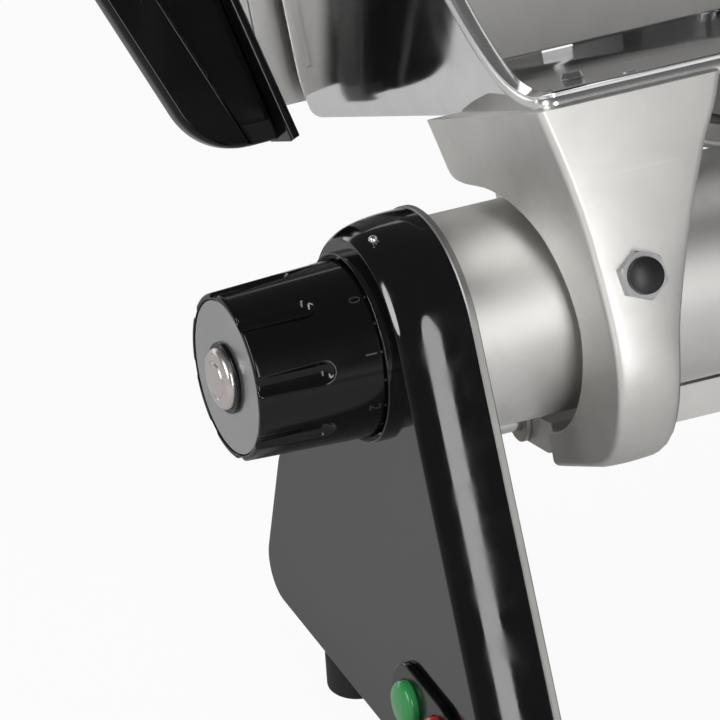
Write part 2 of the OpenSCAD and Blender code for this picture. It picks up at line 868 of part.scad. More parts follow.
module lock_bush() {
  across = bush_flats / cos(30);
  color(steel) leaning() translate([arm_reach, arm_mid_y, lock_n]) rotate([0, 90, 0]) difference() {
    intersection() {
      rotate(8) cylinder(d = across, h = bush_t, $fn = 6);
      cylinder(d1 = across + 4, d2 = across - 1.2, h = bush_t);
    }
    translate([0, 0, -1]) cylinder(d = plunger_d + 2 * fit, h = bush_t + 2);
  }
}

module plunger_button() {
  r = plunger_d / 2;
  color(ink) leaning() translate([0, arm_mid_y, lock_n])
    turned_x(arm_reach + bush_t + plunger_proud - plunger_len) polygon([[0, 0], [r, 0],
      for (a = [0 : 15 : 90]) [r * cos(a), plunger_len - plunger_proud + plunger_proud * sin(a)]]);
}

// Bent sheet: floor, round bend and front wall, in section
module tray_section() {
  y1 = tray_y + tray_d;
  top = tray_rise + tray_wall_h;
  in_r = tray_bend - tray_t;
  mid = [tray_y + tray_bend, tray_rise + tray_bend];
  bend_out = [for (a = [270 : -10 : 180]) mid + tray_bend * [cos(a), sin(a)]];
  bend_in = [for (a = [180 : 10 : 270]) mid + in_r * [cos(a), sin(a)]];
  wall = [[tray_y, top], [tray_y + tray_t, top]];
  polygon(concat([[y1, tray_rise]], bend_out, wall, bend_in, [[y1, tray_top]]));
}

module product_tray() {
  slope_end = 30;
  color(bright) leaning() difference() {
    union() {
      along_x(tray_low, tray_w) tray_section();
      translate([tray_reach - tray_t, tray_y + tray_bend, tray_rise])
        cube([tray_t, tray_d - tray_bend, lip_h]);
    }
    translate([0, tray_y - 1, 0]) rotate([-90, 0, 0]) linear_extrude(tray_bend + 1) polygon([
      [tray_reach + 1, -tray_rise - lip_h], [slope_end, -tray_rise - tray_wall_h - 1],
      [tray_reach + 1, -tray_rise - tray_wall_h - 1]]);
  }
}

module handle_frame() {
  leaning() translate([handle_p, handle_y, handle_n]) rotate([handle_lean, 0, 0]) children();
}

// A slab with round ends, as tall as the grip, across the handle
module handle_slab(r, from, t, drop) {
  hull() for (z = [r - drop, handle_len]) translate([0, 0, z]) rotate([-90, 0, 0]) translate([0, 0, from])
    cylinder(r = r, h = t, $fn = hull_fn);
}

module carriage_handle() {
  part_y = -6.5;
  waist_t = 9;
  flange_t = 5;
  big = 200;
  color(ink) {
    handle_frame() {
      intersection() {
        hull() for (z = [0, handle_len]) translate([0, 0, z]) scale([handle_half / handle_round, 1, 1])
          sphere(r = handle_round, $fn = hull_fn);
        translate([-big / 2, part_y - big, -big / 2]) cube(big);
      }
      handle_slab(handle_half - 3, part_y - 1, waist_t + 2, handle_round - 4);
      handle_slab(handle_half, part_y + waist_t, flange_t, handle_round + 9);
    }
    leaning() translate([handle_p - 8, handle_y + 4, handle_n - 8]) cube([16, tray_y - handle_y - 4, 28]);
  }
}

module pusher_rod() {
  color(bright) leaning() translate([0, pusher_rod_y, pusher_rod_n])
    rod_x(pusher_rod_d / 2, tray_low + 2, tray_w - 4);
}

module rod_posts() {
  r = pusher_rod_d / 2 + 7;
  d = 16;
  y0 = tray_y + tray_d - d;
  neck = 20;
  color(satin) leaning() for (p = [tray_low, tray_reach - tray_t - post_w]) difference() {
    along_x(p, post_w) {
      translate([y0, tray_top]) square([d, pusher_rod_n - tray_top]);
      translate([pusher_rod_y, pusher_rod_n]) circle(r = r);
      polygon([[y0, pusher_rod_n - neck], [y0 + d, pusher_rod_n - neck], [pusher_rod_y + r, pusher_rod_n],
        [pusher_rod_y, pusher_rod_n + r], [y0, pusher_rod_n]]);
    }
    translate([0, pusher_rod_y, pusher_rod_n]) rod_x(pusher_rod_d / 2, p - 1, post_w + 2);
  }
}

module tray_screws() {
  inset = 18;
  places = [crown_y + inset, crown_y + crown_depth - inset];
  color(steel) leaning() for (p = [-arm_left / 2, arm_reach / 2], y = places)
    translate([p, y, tray_top]) cylinder(d1 = 9, d2 = 7, h = 2);
}

module at_pusher() { leaning() translate([carrier_p, pusher_rod_y, pusher_rod_n]) children(); }

// Two rings on the pusher rod, joined behind it; the pusher's hub swings between them
module pusher_carrier() {
  ring_w = (carrier_w - hub_w) / 2 - gap;
  r = carrier_d / 2;
  bridge_t = 6;
  color(satin) at_pusher() difference() {
    union() {
      rod_x(r, 0, ring_w);
      rod_x(r, carrier_w - ring_w, ring_w);
      translate([0, r - 2, -r * 0.6]) cube([carrier_w, bridge_t, r * 1.2]);
    }
    rod_x(pusher_rod_d / 2 + fit, -1, carrier_w + 2);
    rod_x(hub_r + gap, ring_w, carrier_w - 2 * ring_w);
  }
}

module pusher_plate() {
  mid = carrier_w / 2;
  y0 = pusher_y;
  n0 = tray_top + pusher_clear - pusher_rod_n;
  soft = 16;
  color(satin) at_pusher() difference() {
    union() {
      rod_x(hub_r, mid - hub_w / 2, hub_w);
      along_x(mid - pusher_t / 2, pusher_t) {
        translate([y0 + soft, n0]) square([-y0 - soft - 24, pusher_h]);
        translate([y0, n0]) square([soft + 1, pusher_h - soft]);
        translate([y0 + soft, n0 + pusher_h - soft]) circle(r = soft);
        translate([-25, -9]) square([20, 18]);
      }
    }
    rod_x(pusher_rod_d / 2 + fit, mid - hub_w, 2 * hub_w);
  }
}

module pusher_grip() {
  y = pusher_y / 2 - 30;
  n = tray_top + pusher_clear - pusher_rod_n + pusher_h;
  r = grip_d / 2;
  color(ink) at_pusher() translate([carrier_w / 2, y, n]) rotate_extrude()
    polygon([[0, 0], [r * 0.62, 0], [r * 0.66, 4], [r * 0.55, 10], [r * 0.7, 24], [r, 42], [r * 0.94, 54],
      [r * 0.6, grip_h - 2], [0, grip_h]]);
}

module pusher_spikes() {
  inset = 20;
  y0 = pusher_y + inset;
  y_step = (-pusher_y - 2 * inset - 24) / (spike_cols - 1);
  n0 = tray_top + pusher_clear - pusher_rod_n + inset;
  n_step = (pusher_h - 2 * inset) / (spike_rows - 1);
  color(steel) at_pusher() for (i = [0 : spike_cols - 1], j = [0 : spike_rows - 1])
    translate([carrier_w / 2 - pusher_t / 2 - spike_len, y0 + i * y_step, n0 + j * n_step]) rotate([0, 90, 0])
      cylinder(d1 = 0.6, d2 = spike_d, h = spike_len);
}

module blade() {
  bevel = 16;
  rim = 0.4;
  color(bright) at_blade() turned_x(-blade_back) polygon([[shaft_d / 2, 0], [blade_r - bevel, 0],
    [blade_r, blade_t - rim], [blade_r, blade_t], [blade_r - bevel, blade_t],
    [blade_r - bevel - 6, blade_t - 1], [shaft_d / 2, blade_t - 1]]);
}

// Fixed cover over the blade's middle, held by a stud through the hollow shaft
module blade_cover() {
  r = cover_d / 2;
  back = -cut_left + gap;
  color(bright) at_blade() turned_x(back)
    polygon([[0, 0], [r, 0], [r, 0.6], [r - 4, 2], [r * 0.5, 2.6], [0, 2.8]]);
}

module cover_stud() {
  from = -head_back - cover_t - stud_grip;
  color(steel) at_blade() rod_x(stud_d / 2, from, -cut_left + gap - from);
}

module cover_knob() {
  r = 19;
  t = 18;
  back = -head_back - cover_t;
  scallop_r = 5;
  color(ink) at_blade() difference() {
    turned_x(back - t) polygon([[0, 0], [r - 3, 0], [r, 3], [r, t - 5], [r * 0.6, t], [0, t]]);
    rod_x(stud_d / 2, back - stud_grip, stud_grip + 1);
    for (a = [0 : 60 : 300]) rotate([a, 0, 0]) translate([0, r + 3, 0]) rod_x(scallop_r, back - t - 1, t - 4);
  }
}

module blade_shaft() {
  hub = 36;
  hub_t = 12;
  r = shaft_d / 2;
  start = -(belt_mid + belt_w / 2 + 4);
  len = -cut_left - 1.2 - start;
  hub_from = -blade_back - hub_t - start;
  bore = stud_d / 2 + 0.5;
  color(steel) at_blade() turned_x(start) polygon([[bore, 0], [r, 0], [r, hub_from], [hub - 6, hub_from],
    [hub, hub_from + 6], [hub, hub_from + hub_t], [r, hub_from + hub_t], [r, len], [bore, len]]);
}

// A flat pulley with two flanges, centred on the belt
module pulley(d, bore) {
  w = belt_w / 2 + 1;
  lip = 3;
  rim = 1.6;
  turned_x(-belt_mid) polygon([[bore, -w - rim], [d / 2 + lip, -w - rim], [d / 2 + lip, -w], [d / 2, -w],
    [d / 2, w], [d / 2 + lip, w], [d / 2 + lip, w + rim], [bore, w + rim]]);
}

module blade_pulley() { color(steel) at_blade() pulley(blade_pulley_d, shaft_d / 2); }
module motor_pulley() { color(steel) at_motor() pulley(motor_pulley_d, motor_shaft_d / 2); }

module motor_shaft() {
  start = -(belt_mid + belt_w / 2 + 4);
  color(steel) at_motor() rod_x(motor_shaft_d / 2, start, -head_front + motor_len - 24 - start);
}

front_upright();
front_backplate();
knob_collar();
index_pin();
beam_tube();
guide_rod();
rear_upright();
rear_backplate();
base_pan();
rubber_feet();
spindle_plate();
gauge_guide();
switch_bezel();
cable_gland();
head_casting();
belt_cover();
motor();
motor_housing();
blade_bearings();
drive_belt();
blade_guard();
cover_knob();
upright_screws();
thickness_knob();
knob_face_disc();
knob_cap();
knob_spindle();
scroll_cam();
gauge_rod();
follower_pin();
gauge_bracket();
gauge_plate();
gauge_screws();
carriage_arm();
carriage_slider();
slider_bushes();
steady_shoe();
lock_bush();
product_tray();
carriage_handle();
pusher_rod();
rod_posts();
tray_screws();
plunger_button();
pusher_carrier();
pusher_plate();
pusher_grip();
pusher_spikes();
blade();
blade_cover();
cover_stud();
blade_shaft();
blade_pulley();
motor_shaft();
motor_pulley();
start_button();
stop_button();
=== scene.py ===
# %% [markdown]
# # A gravity-feed food slicer
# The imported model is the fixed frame: every piece here is in metres, in the same axes, and rides on
# one of its bodies. The lesson dresses that frame piece by piece, from the thickness knob at the
# front to the motor at the back, and ends with the studio.

# %% Load the frame
import json
from math import acos, asin, atan2, cos, degrees, dist, pi, radians, sin, sqrt, tan, tau

import bmesh
import bpy
from mathutils import Matrix, Vector


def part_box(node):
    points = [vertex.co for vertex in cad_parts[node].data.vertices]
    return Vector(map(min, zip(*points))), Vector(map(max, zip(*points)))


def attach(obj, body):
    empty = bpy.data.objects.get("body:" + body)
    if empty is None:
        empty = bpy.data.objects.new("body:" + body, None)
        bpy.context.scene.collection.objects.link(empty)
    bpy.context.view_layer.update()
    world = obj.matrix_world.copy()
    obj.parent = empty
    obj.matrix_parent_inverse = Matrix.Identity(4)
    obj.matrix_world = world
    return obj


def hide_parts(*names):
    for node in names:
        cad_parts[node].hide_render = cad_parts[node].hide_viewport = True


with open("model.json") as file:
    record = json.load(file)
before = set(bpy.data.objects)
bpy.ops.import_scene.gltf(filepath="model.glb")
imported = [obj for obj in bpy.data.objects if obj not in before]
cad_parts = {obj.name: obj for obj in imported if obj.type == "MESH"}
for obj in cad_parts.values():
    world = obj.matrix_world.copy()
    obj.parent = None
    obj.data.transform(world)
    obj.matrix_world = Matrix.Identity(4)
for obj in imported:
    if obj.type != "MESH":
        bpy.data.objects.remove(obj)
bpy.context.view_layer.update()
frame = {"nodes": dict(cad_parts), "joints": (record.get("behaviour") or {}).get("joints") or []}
nodes = frame["nodes"]
scene = bpy.context.scene

# %% [markdown]
# Two sets of axes place almost everything. The beam's axes start at the middle of the knob's front
# face: x to the operator's right, y back along the beam, z up. The slope's axes start there too, but
# p climbs the leaning tray and n stands square to it. Both come from the joints of the frame, so a
# piece lands on the solids without any fitting. Sizes below are in millimetres.

# %% Axes of the beam and of the slope
MM = 0.001
joints = {j["name"]: j for j in frame["joints"]}
AXIS = Vector(joints["knob_turn"]["pos_m"])
UP_SLOPE = Vector(joints["pusher_slide"]["axis"])
SQUARE = Vector((-UP_SLOPE.z, 0, UP_SLOPE.x))


def beam(x, y, z):
    return AXIS + Vector((x, y, z)) * MM


def slope(p, y, n):
    return AXIS + (UP_SLOPE * p + Vector((0, y, 0)) + SQUARE * n) * MM


def beam_box(node):
    low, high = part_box(node)
    return (low - AXIS) / MM, (high - AXIS) / MM


def slope_box(node):
    points = [(v.co - AXIS) / MM for v in nodes[node].data.vertices]
    turned = [Vector((q.dot(UP_SLOPE), q.y, q.dot(SQUARE))) for q in points]
    low = Vector([min(q[i] for q in turned) for i in range(3)])
    high = Vector([max(q[i] for q in turned) for i in range(3)])
    return low, high


print("beam axis at", [round(v, 4) for v in AXIS], "slope", [round(v, 4) for v in UP_SLOPE])

# %% [markdown]
# Finishes come first, so that each piece can take one as it is made. What several of them share is a
# node group: fine grain, smears that change the gloss, wear where an edge sticks out, and turning
# marks. Each group puts out plain values, and the shader itself stays in the material. Coordinates
# are the object's own, which here are the frame's metres, so grain has a real size: a scale of 1000
# is a millimetre.

# %% Node groups that finishes share
SMEAR_DETAIL, SMEAR_WARP = 6.0, 0.6
SMEAR_FROM, SMEAR_TO = 0.35, 0.65
WEAR_DETAIL, WEAR_FULL = 5.0, 0.66
RING_DETAIL = 4.0


def add_node(tree, kind, values=None, **settings):
    """A new node; values go on its input sockets, settings on the node itself."""
    node = tree.nodes.new("ShaderNode" + kind)
    for key, value in settings.items():
        setattr(node, key, value)
    for socket, value in (values or {}).items():
        node.inputs[socket].default_value = value
    return node


def wire(tree, *wires):
    """Links sockets; each wire is a node, its output, another node and that one's input."""
    for start, leaving, end, entering in wires:
        tree.links.new(start.outputs[leaving], end.inputs[entering])


def new_group(name, inputs, output):
    """A node group with its inputs and their defaults, and one output, a float."""
    group = bpy.data.node_groups.new(name, "ShaderNodeTree")
    for label, value in inputs.items():
        kind = "NodeSocketFloat" if isinstance(value, float) else "NodeSocketVector"
        group.interface.new_socket(name=label, in_out="INPUT", socket_type=kind).default_value = value
    group.interface.new_socket(name=output, in_out="OUTPUT", socket_type="NodeSocketFloat")
    return group, group.nodes.new("NodeGroupInput"), group.nodes.new("NodeGroupOutput")


def grain_group():
    group, into, out = new_group(
        "fine_grain", {"Turn": (0, 0, 0), "Stretch": (1, 1, 1), "Scale": 900.0, "Detail": 3.0}, "Height")
    coords = add_node(group, "TexCoord")
    turn = add_node(group, "Mapping")
    squeeze = add_node(group, "Mapping")
    noise = add_node(group, "TexNoise")
    wire(group, (coords, "Object", turn, "Vector"), (into, "Turn", turn, "Rotation"),
         (turn, "Vector", squeeze, "Vector"), (into, "Stretch", squeeze, "Scale"),
         (squeeze, "Vector", noise, "Vector"), (into, "Scale", noise, "Scale"),
         (into, "Detail", noise, "Detail"), (noise, "Fac", out, "Height"))
    return group


def smear_group():
    group, into, out = new_group("smears", {"Scale": 25.0, "Low": 0.1, "High": 0.2}, "Value")
    coords = add_node(group, "TexCoord")
    noise = add_node(group, "TexNoise", {"Detail": SMEAR_DETAIL, "Distortion": SMEAR_WARP})
    spread = add_node(group, "MapRange", {"From Min": SMEAR_FROM, "From Max": SMEAR_TO})
    wire(group, (coords, "Object", noise, "Vector"), (into, "Scale", noise, "Scale"),
         (noise, "Fac", spread, "Value"), (into, "Low", spread, "To Min"),
         (into, "High", spread, "To Max"), (spread, "Result", out, "Value"))
    return group


def wear_group():
    group, into, out = new_group("edge_wear", {"Reach": 0.56, "Scale": 400.0}, "Mask")
    shape = add_node(group, "NewGeometry")
    coords = add_node(group, "TexCoord")
    noise = add_node(group, "TexNoise", {"Detail": WEAR_DETAIL})
    sharp = add_node(group, "MapRange", {"From Max": WEAR_FULL})
    rough = add_node(group, "Math", operation="MULTIPLY")
    wire(group, (coords, "Object", noise, "Vector"), (into, "Scale", noise, "Scale"),
         (shape, "Pointiness", sharp, "Value"), (into, "Reach", sharp, "From Min"),
         (sharp, "Result", rough, 0), (noise, "Fac", rough, 1), (rough, "Value", out, "Mask"))
    return group


def rings_group():
    group, into, out = new_group(
        "turning_marks", {"Centre": (0, 0, 0), "Axis": (0, 1, 0), "Scale": 1500.0}, "Height")
    coords = add_node(group, "TexCoord")
    away = add_node(group, "VectorMath", operation="SUBTRACT")
    across = add_node(group, "VectorMath", operation="CROSS_PRODUCT")
    length = add_node(group, "VectorMath", operation="LENGTH")
    noise = add_node(group, "TexNoise", {"Detail": RING_DETAIL}, noise_dimensions="1D")
    wire(group, (coords, "Object", away, 0), (into, "Centre", away, 1), (away, "Vector", across, 0),
         (into, "Axis", across, 1), (across, "Vector", length, 0), (length, "Value", noise, "W"),
         (into, "Scale", noise, "Scale"), (noise, "Fac", out, "Height"))
    return group


GRAIN, SMEARS, WEAR, RINGS = grain_group(), smear_group(), wear_group(), rings_group()
print("groups:", [g.name for g in bpy.data.node_groups])

# %% [markdown]
# One function then mixes a finish from those groups. The colour varies a little with the smears, the
# roughness lies between two values, a bump gives the grain, and worn edges may show a second colour.
# Constant values go straight on the shader's sockets.

# %% Mixing a finish
TINT_FINER = 2.3
BUMP_DEPTH = 0.02 * MM


def placed(tree, group, **values):
    return add_node(tree, "Group", values, node_tree=group)


def finish(name, colour, rough, bump, scale, metal=0.0, specular=0.5, tint=0.03, smear_scale=25.0,
           worn=None, marks=GRAIN, **values):
    """A material: rough is (low, high), worn a colour; scale and values go to the group of its marks."""
    material = bpy.data.materials.new(name)
    material.use_nodes = True
    material.diffuse_color = (*colour, 1)
    tree = material.node_tree
    shader = tree.nodes["Principled BSDF"]
    shader.inputs["Metallic"].default_value = metal
    shader.inputs["Specular IOR Level"].default_value = specular
    smears = placed(tree, SMEARS, Scale=smear_scale, Low=rough[0], High=rough[1])
    shade = placed(tree, SMEARS, Scale=smear_scale * TINT_FINER, Low=0.0, High=1.0)
    darker, lighter = [c * (1 - tint) for c in colour], [min(1.0, c * (1 + tint)) for c in colour]
    mix = add_node(tree, "Mix", {"A": (*darker, 1), "B": (*lighter, 1)}, data_type="RGBA")
    wire(tree, (smears, "Value", shader, "Roughness"), (shade, "Value", mix, "Factor"))
    surface = mix
    if worn:
        edges = placed(tree, WEAR)
        surface = add_node(tree, "Mix", {"B": (*worn, 1)}, data_type="RGBA")
        wire(tree, (edges, "Mask", surface, "Factor"), (mix, "Result", surface, "A"))
    source = placed(tree, marks, Scale=scale, **values)
    relief = add_node(tree, "Bump", {"Strength": bump, "Distance": BUMP_DEPTH})
    wire(tree, (surface, "Result", shader, "Base Color"), (source, "Height", relief, "Height"),
         (relief, "Normal", shader, "Normal"))
    return material


LEAN = (0, atan2(UP_SLOPE.z, UP_SLOPE.x), 0)
BLADE_AT = tuple(joints["blade_spin"]["pos_m"])
print("slope leans", round(degrees(LEAN[1]), 1), "degrees")

# %% [markdown]
# Bare metal differs mostly in roughness and in the direction of its grain. The rest is gloss black
# enamel, black mouldings, and small pieces in rubber, nylon and colour. After the name come colour,
# roughness, bump, the scale of the marks and how far it is metal.

# %% Finishes
BLACK = (0.003, 0.003, 0.0034)
enamel = finish("black_enamel", BLACK, (0.05, 0.15), 0.3, 260.0, worn=(0.014, 0.014, 0.015),
                smear_scale=60.0)
moulding = finish("black_moulding", BLACK, (0.1, 0.16), 0.06, 1400.0, specular=0.3)
satin = finish("satin_aluminium", (0.71, 0.7, 0.68), (0.37, 0.4), 0.25, 2600.0, 1.0, Detail=4.0)
turned_tube = finish("turned_tube", (0.76, 0.75, 0.73), (0.42, 0.44), 0.22, 900.0, 1.0, Detail=5.0,
                     Stretch=(0.15, 1.6, 0.15))
cast_arm = finish("brushed_casting", (0.67, 0.66, 0.64), (0.48, 0.51), 0.25, 700.0, 1.0, Detail=5.0,
                  Turn=LEAN, Stretch=(1.0, 1.4, 0.08))
cut_edge = finish("sawn_plate", (0.35, 0.345, 0.335), (0.4, 0.55), 0.5, 900.0, 1.0, Detail=5.0)
polished = finish("polished_aluminium", (0.84, 0.84, 0.84), (0.06, 0.12), 0.05, 500.0, 1.0,
                  Stretch=(0.2, 1.0, 1.0))
buffed = finish("buffed_bead", (0.82, 0.82, 0.81), (0.24, 0.28), 0.05, 900.0, 1.0)
dial_face = finish("grey_dial_face", (0.37, 0.37, 0.373), (0.2, 0.26), 0.05, 1800.0, 0.85)
pearl = finish("pearl_cap", (0.58, 0.54, 0.52), (0.26, 0.34), 0.3, 2200.0, 0.95, marks=RINGS,
               Centre=tuple(AXIS))
print_grey = finish("dial_print", (0.028, 0.028, 0.029), (0.42, 0.5), 0.1, 3000.0)
bright = finish("bright_steel", (0.72, 0.72, 0.73), (0.14, 0.22), 0.12, 1200.0, 1.0,
                Stretch=(1.0, 0.1, 1.0))
dull_black = finish("dull_black", (0.01, 0.01, 0.0105), (0.34, 0.4), 0.1, 1800.0, specular=0.45)
steel = finish("turned_steel", (0.52, 0.52, 0.53), (0.26, 0.36), 0.2, 1800.0, 1.0)
blade_steel = finish("ground_blade", (0.68, 0.68, 0.69), (0.16, 0.24), 0.35, 1400.0, 1.0, marks=RINGS,
                     Centre=BLADE_AT, Axis=tuple(UP_SLOPE))
bronze = finish("sintered_bronze", (0.47, 0.45, 0.42), (0.35, 0.5), 0.3, 2500.0, 1.0)
rubber = finish("black_rubber", (0.018, 0.018, 0.018), (0.55, 0.7), 0.3, 1500.0, specular=0.3, tint=0.2)
nylon = finish("white_nylon", (0.74, 0.73, 0.68), (0.4, 0.5), 0.1, 900.0)
green = finish("green_moulding", (0.03, 0.26, 0.07), (0.16, 0.26), 0.06, 1400.0)
red = finish("red_moulding", (0.45, 0.02, 0.015), (0.16, 0.26), 0.06, 1400.0)
print("finishes:", len(bpy.data.materials))

# %% [markdown]
# Three makers of shape are enough. A skin joins rings of points with quads, which is how a lathe
# turning, a rounded casting and a loft are all made here. A dressed copy takes a solid that already
# has the right form, and softens its edges so that they catch light. Every new piece then says which
# body it rides on, which finish it takes, and which solids it stands for.

# %% Pieces, skins and turnings
SHARP_ANGLE = 35.0
SKIN_WELD = 1e-7


def linked(name, data):
    obj = bpy.data.objects.new(name, data)
    scene.collection.objects.link(obj)
    return obj


def settle(obj, body, material, replaced=()):
    """Gives a piece its finish, its body and the solids that it stands for."""
    obj.data.materials.clear()
    obj.data.materials.append(material)
    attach(obj, body)
    if replaced:
        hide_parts(*replaced)
    return obj


def shaded(mesh, angle=SHARP_ANGLE):
    mesh.polygons.foreach_set("use_smooth", [True] * len(mesh.polygons))
    mesh.set_sharp_from_angle(angle=radians(angle))
    mesh.update()


def even_normals(obj):
    even = obj.modifiers.new("even_normals", "WEIGHTED_NORMAL")
    even.keep_sharp = True


def soften(obj, name, width, segments, angle):
    """A bevel along the edges that turn by more than an angle; the width is in millimetres."""
    soft = obj.modifiers.new(name, "BEVEL")
    soft.width = width * MM
    soft.segments = segments
    soft.limit_method = "ANGLE"
    soft.angle_limit = radians(angle)


def skin(name, strips, closed=False, angle=SHARP_ANGLE):
    """One object from strips; a strip is a list of rings with equal counts, capped where it ends."""
    points, faces = [], []
    for rings in strips:
        base, count = len(points), len(rings[0])
        for ring in rings:
            points.extend(ring)
        for i in range(len(rings) if closed else len(rings) - 1):
            here, there = base + i * count, base + (i + 1) % len(rings) * count
            for k in range(count):
                m = (k + 1) % count
                faces.append([here + k, here + m, there + m, there + k])
        if not closed:
            faces.append([base + k for k in reversed(range(count))])
            faces.append([base + (len(rings) - 1) * count + k for k in range(count)])
    mesh = bpy.data.meshes.new(name)
    mesh.from_pydata(points, [], faces)
    tidy = bmesh.new()
    tidy.from_mesh(mesh)
    bmesh.ops.remove_doubles(tidy, verts=tidy.verts, dist=SKIN_WELD)
    bmesh.ops.recalc_face_normals(tidy, faces=tidy.faces)
    tidy.to_mesh(mesh)
    tidy.free()
    shaded(mesh, angle)
    obj = linked(name, mesh)
    even_normals(obj)
    return obj


def turning(profile, place, steps=160):
    """Rings of a lathe turning: profile is (radius, along), place sets (across, along, up)."""
    turn = [tau * k / steps for k in range(steps)]
    return [[place(r * cos(a), y, r * sin(a)) for a in turn] for r, y in profile]


def arc(cx, cy, r, start, end, steps=8):
    """Points on an arc, with angles in degrees."""
    turn = [radians(start + (end - start) * i / steps) for i in range(steps + 1)]
    return [(cx + r * cos(a), cy + r * sin(a)) for a in turn]


print("quarter round:", len(arc(0, 0, 1, 0, 90)), "points")

# %% [markdown]
# The copy of a solid is welded first, because an exact solid arrives with its faces apart, and flat
# neighbours are merged, so that the bevel sees only real edges. A plane may also cut a corner off.

# %% Dressed copies of solids
SOLID_WELD = 1e-6
FLAT_ANGLE = 0.5
EDGE_SEGMENTS = 3


def dressed(node, body, material, edge, cut=None):
    """A copy of a solid with soft edges, which stands for it; cut is a point and the way of a plane."""
    mesh = nodes[node].data.copy()
    tidy = bmesh.new()
    tidy.from_mesh(mesh)
    bmesh.ops.remove_doubles(tidy, verts=tidy.verts, dist=SOLID_WELD)
    if cut:
        whole = tidy.verts[:] + tidy.edges[:] + tidy.faces[:]
        bmesh.ops.bisect_plane(tidy, geom=whole, plane_co=cut[0], plane_no=cut[1], clear_outer=True)
        bmesh.ops.holes_fill(tidy, edges=[e for e in tidy.edges if e.is_boundary], sides=0)
    bmesh.ops.dissolve_limit(tidy, angle_limit=radians(FLAT_ANGLE), verts=tidy.verts,
                             edges=tidy.edges)
    tidy.to_mesh(mesh)
    tidy.free()
    shaded(mesh)
    obj = linked(node + "_dressed", mesh)
    if edge:
        soften(obj, "soft_edges", edge, EDGE_SEGMENTS, SHARP_ANGLE)
    even_normals(obj)
    return settle(obj, body, material, (node,))


print("largest solid:", max(nodes, key=lambda n: len(nodes[n].data.vertices)))

# %% [markdown]
# The thickness knob is the piece nearest the eye: a black moulding, slightly wider at the back, with
# shallow finger flutes that start at the front rim and end in a round. A subdivided cage would need
# care at every flute, so the surface is worked out instead: for each angle and depth, the radius is
# the cone's, or the flute cutter's where that is less, and a soft minimum rounds the lips between.

# %% Thickness knob
_, high = beam_box("thickness_knob")
KNOB_LEN = high.y
REAR_R = high.x
FRONT_R = REAR_R - 2.0
FLUTES = 8
FIRST_FLUTE = 23.0
CUTTER_R = 5.0
FLUTE_DEPTH = 1.6
FLUTE_LEN = 31.0
LIP = 0.7
DISC_R = 29.5
CORE_R = 12.0
SEAT_Y, SEAT_PLAY, SEAT_SOFT = 1.6, 0.3, 0.3
RIM_R = 1.2
RIM_WALL = 0.4
BACK_SOFT = 1.0
FIRST_RING, FINE_STEP, COARSE_STEP = 2.0, 0.6, 2.5
KNOB_STEPS = 540


def soft_min(a, b, k):
    h = max(k - abs(a - b), 0.0) / k
    return min(a, b) - h * h * k / 4


def cone_radius(y):
    return FRONT_R + (REAR_R - FRONT_R) * y / KNOB_LEN


def knob_radius(angle, y):
    """Radius of the fluted cone; angle in degrees from the operator's right."""
    pitch = 360.0 / FLUTES
    off = radians((angle - FIRST_FLUTE + pitch / 2) % pitch - pitch / 2)
    centre = FRONT_R + CUTTER_R - FLUTE_DEPTH
    past = max(0.0, y - (FLUTE_LEN - CUTTER_R))
    left = CUTTER_R ** 2 - past ** 2 - (centre * sin(off)) ** 2
    if left <= 0:
        return cone_radius(y)
    return soft_min(cone_radius(y), centre * cos(off) - sqrt(left), LIP)


def knob_rings():
    """From the seat of the face disc over the rim to the back, close together along the flutes."""
    turn = [360.0 * k / KNOB_STEPS for k in range(KNOB_STEPS)]

    def ring(y, radius):
        spots = [(radius(a), radians(a)) for a in turn]
        return [beam(r * cos(a), y, r * sin(a)) for r, a in spots]

    seat = DISC_R + SEAT_PLAY
    rings = [ring(y, lambda a: r) for r, y in
             ((CORE_R, SEAT_Y), (seat, SEAT_Y), (seat, SEAT_SOFT), (seat + SEAT_SOFT, 0.0))]
    for x, y in arc(-RIM_R, RIM_R, RIM_R, -90, 0, 5):
        rings.append(ring(y, lambda a: max(seat + RIM_WALL, knob_radius(a, y) + x)))
    depth = FIRST_RING
    while depth < KNOB_LEN - BACK_SOFT:
        rings.append(ring(depth, lambda a: knob_radius(a, depth)))
        depth += FINE_STEP if depth < FLUTE_LEN + 2 else COARSE_STEP
    back = arc(REAR_R - BACK_SOFT, KNOB_LEN - BACK_SOFT, BACK_SOFT, 0, 90, 4) + [(CORE_R, KNOB_LEN)]
    rings += [ring(y, lambda a: r) for r, y in back]
    return rings


knob = settle(skin("knob_body", [knob_rings()], angle=50), "knob", moulding,
              ("thickness_knob",))
print("knob:", round(2 * REAR_R, 1), "mm wide,", len(knob.data.vertices), "points")

# %% [markdown]
# The knob's face is a grey disc let into the moulding. A metal cap with a turned step stands in its
# middle, in a black ring. All three are lathe work, so each is one profile swept round the axis.

# %% Face disc, cap and cap ring
CAP_R = 12.0
CAP_RISE = 5.0
CAP_SOFT = 2.6
RING_R = 13.8
RING_RISE = 1.4
RING_SOFT = 0.8
FACE_Y, UNDER_Y, CAP_UNDER = 0.3, 1.5, 1.4
disc_profile = [(RING_R - 0.2, UNDER_Y), (RING_R - 0.2, FACE_Y), (DISC_R - 0.5, FACE_Y)]
disc_profile += arc(DISC_R - 0.4, FACE_Y + 0.4, 0.4, -90, 0, 3) + [(DISC_R, UNDER_Y)]
ring_profile = [(CAP_R - 0.1, UNDER_Y), (CAP_R - 0.1, FACE_Y - RING_RISE)]
ring_profile += arc(RING_R - RING_SOFT, RING_SOFT - RING_RISE, RING_SOFT, -90, 0, 4) + [(RING_R, UNDER_Y)]
cap_step = [(0.3, 0.0), (4.0, 0.12), (6.6, 0.35), (6.9, 0.85), (7.3, 0.9), (7.6, 0.6)]
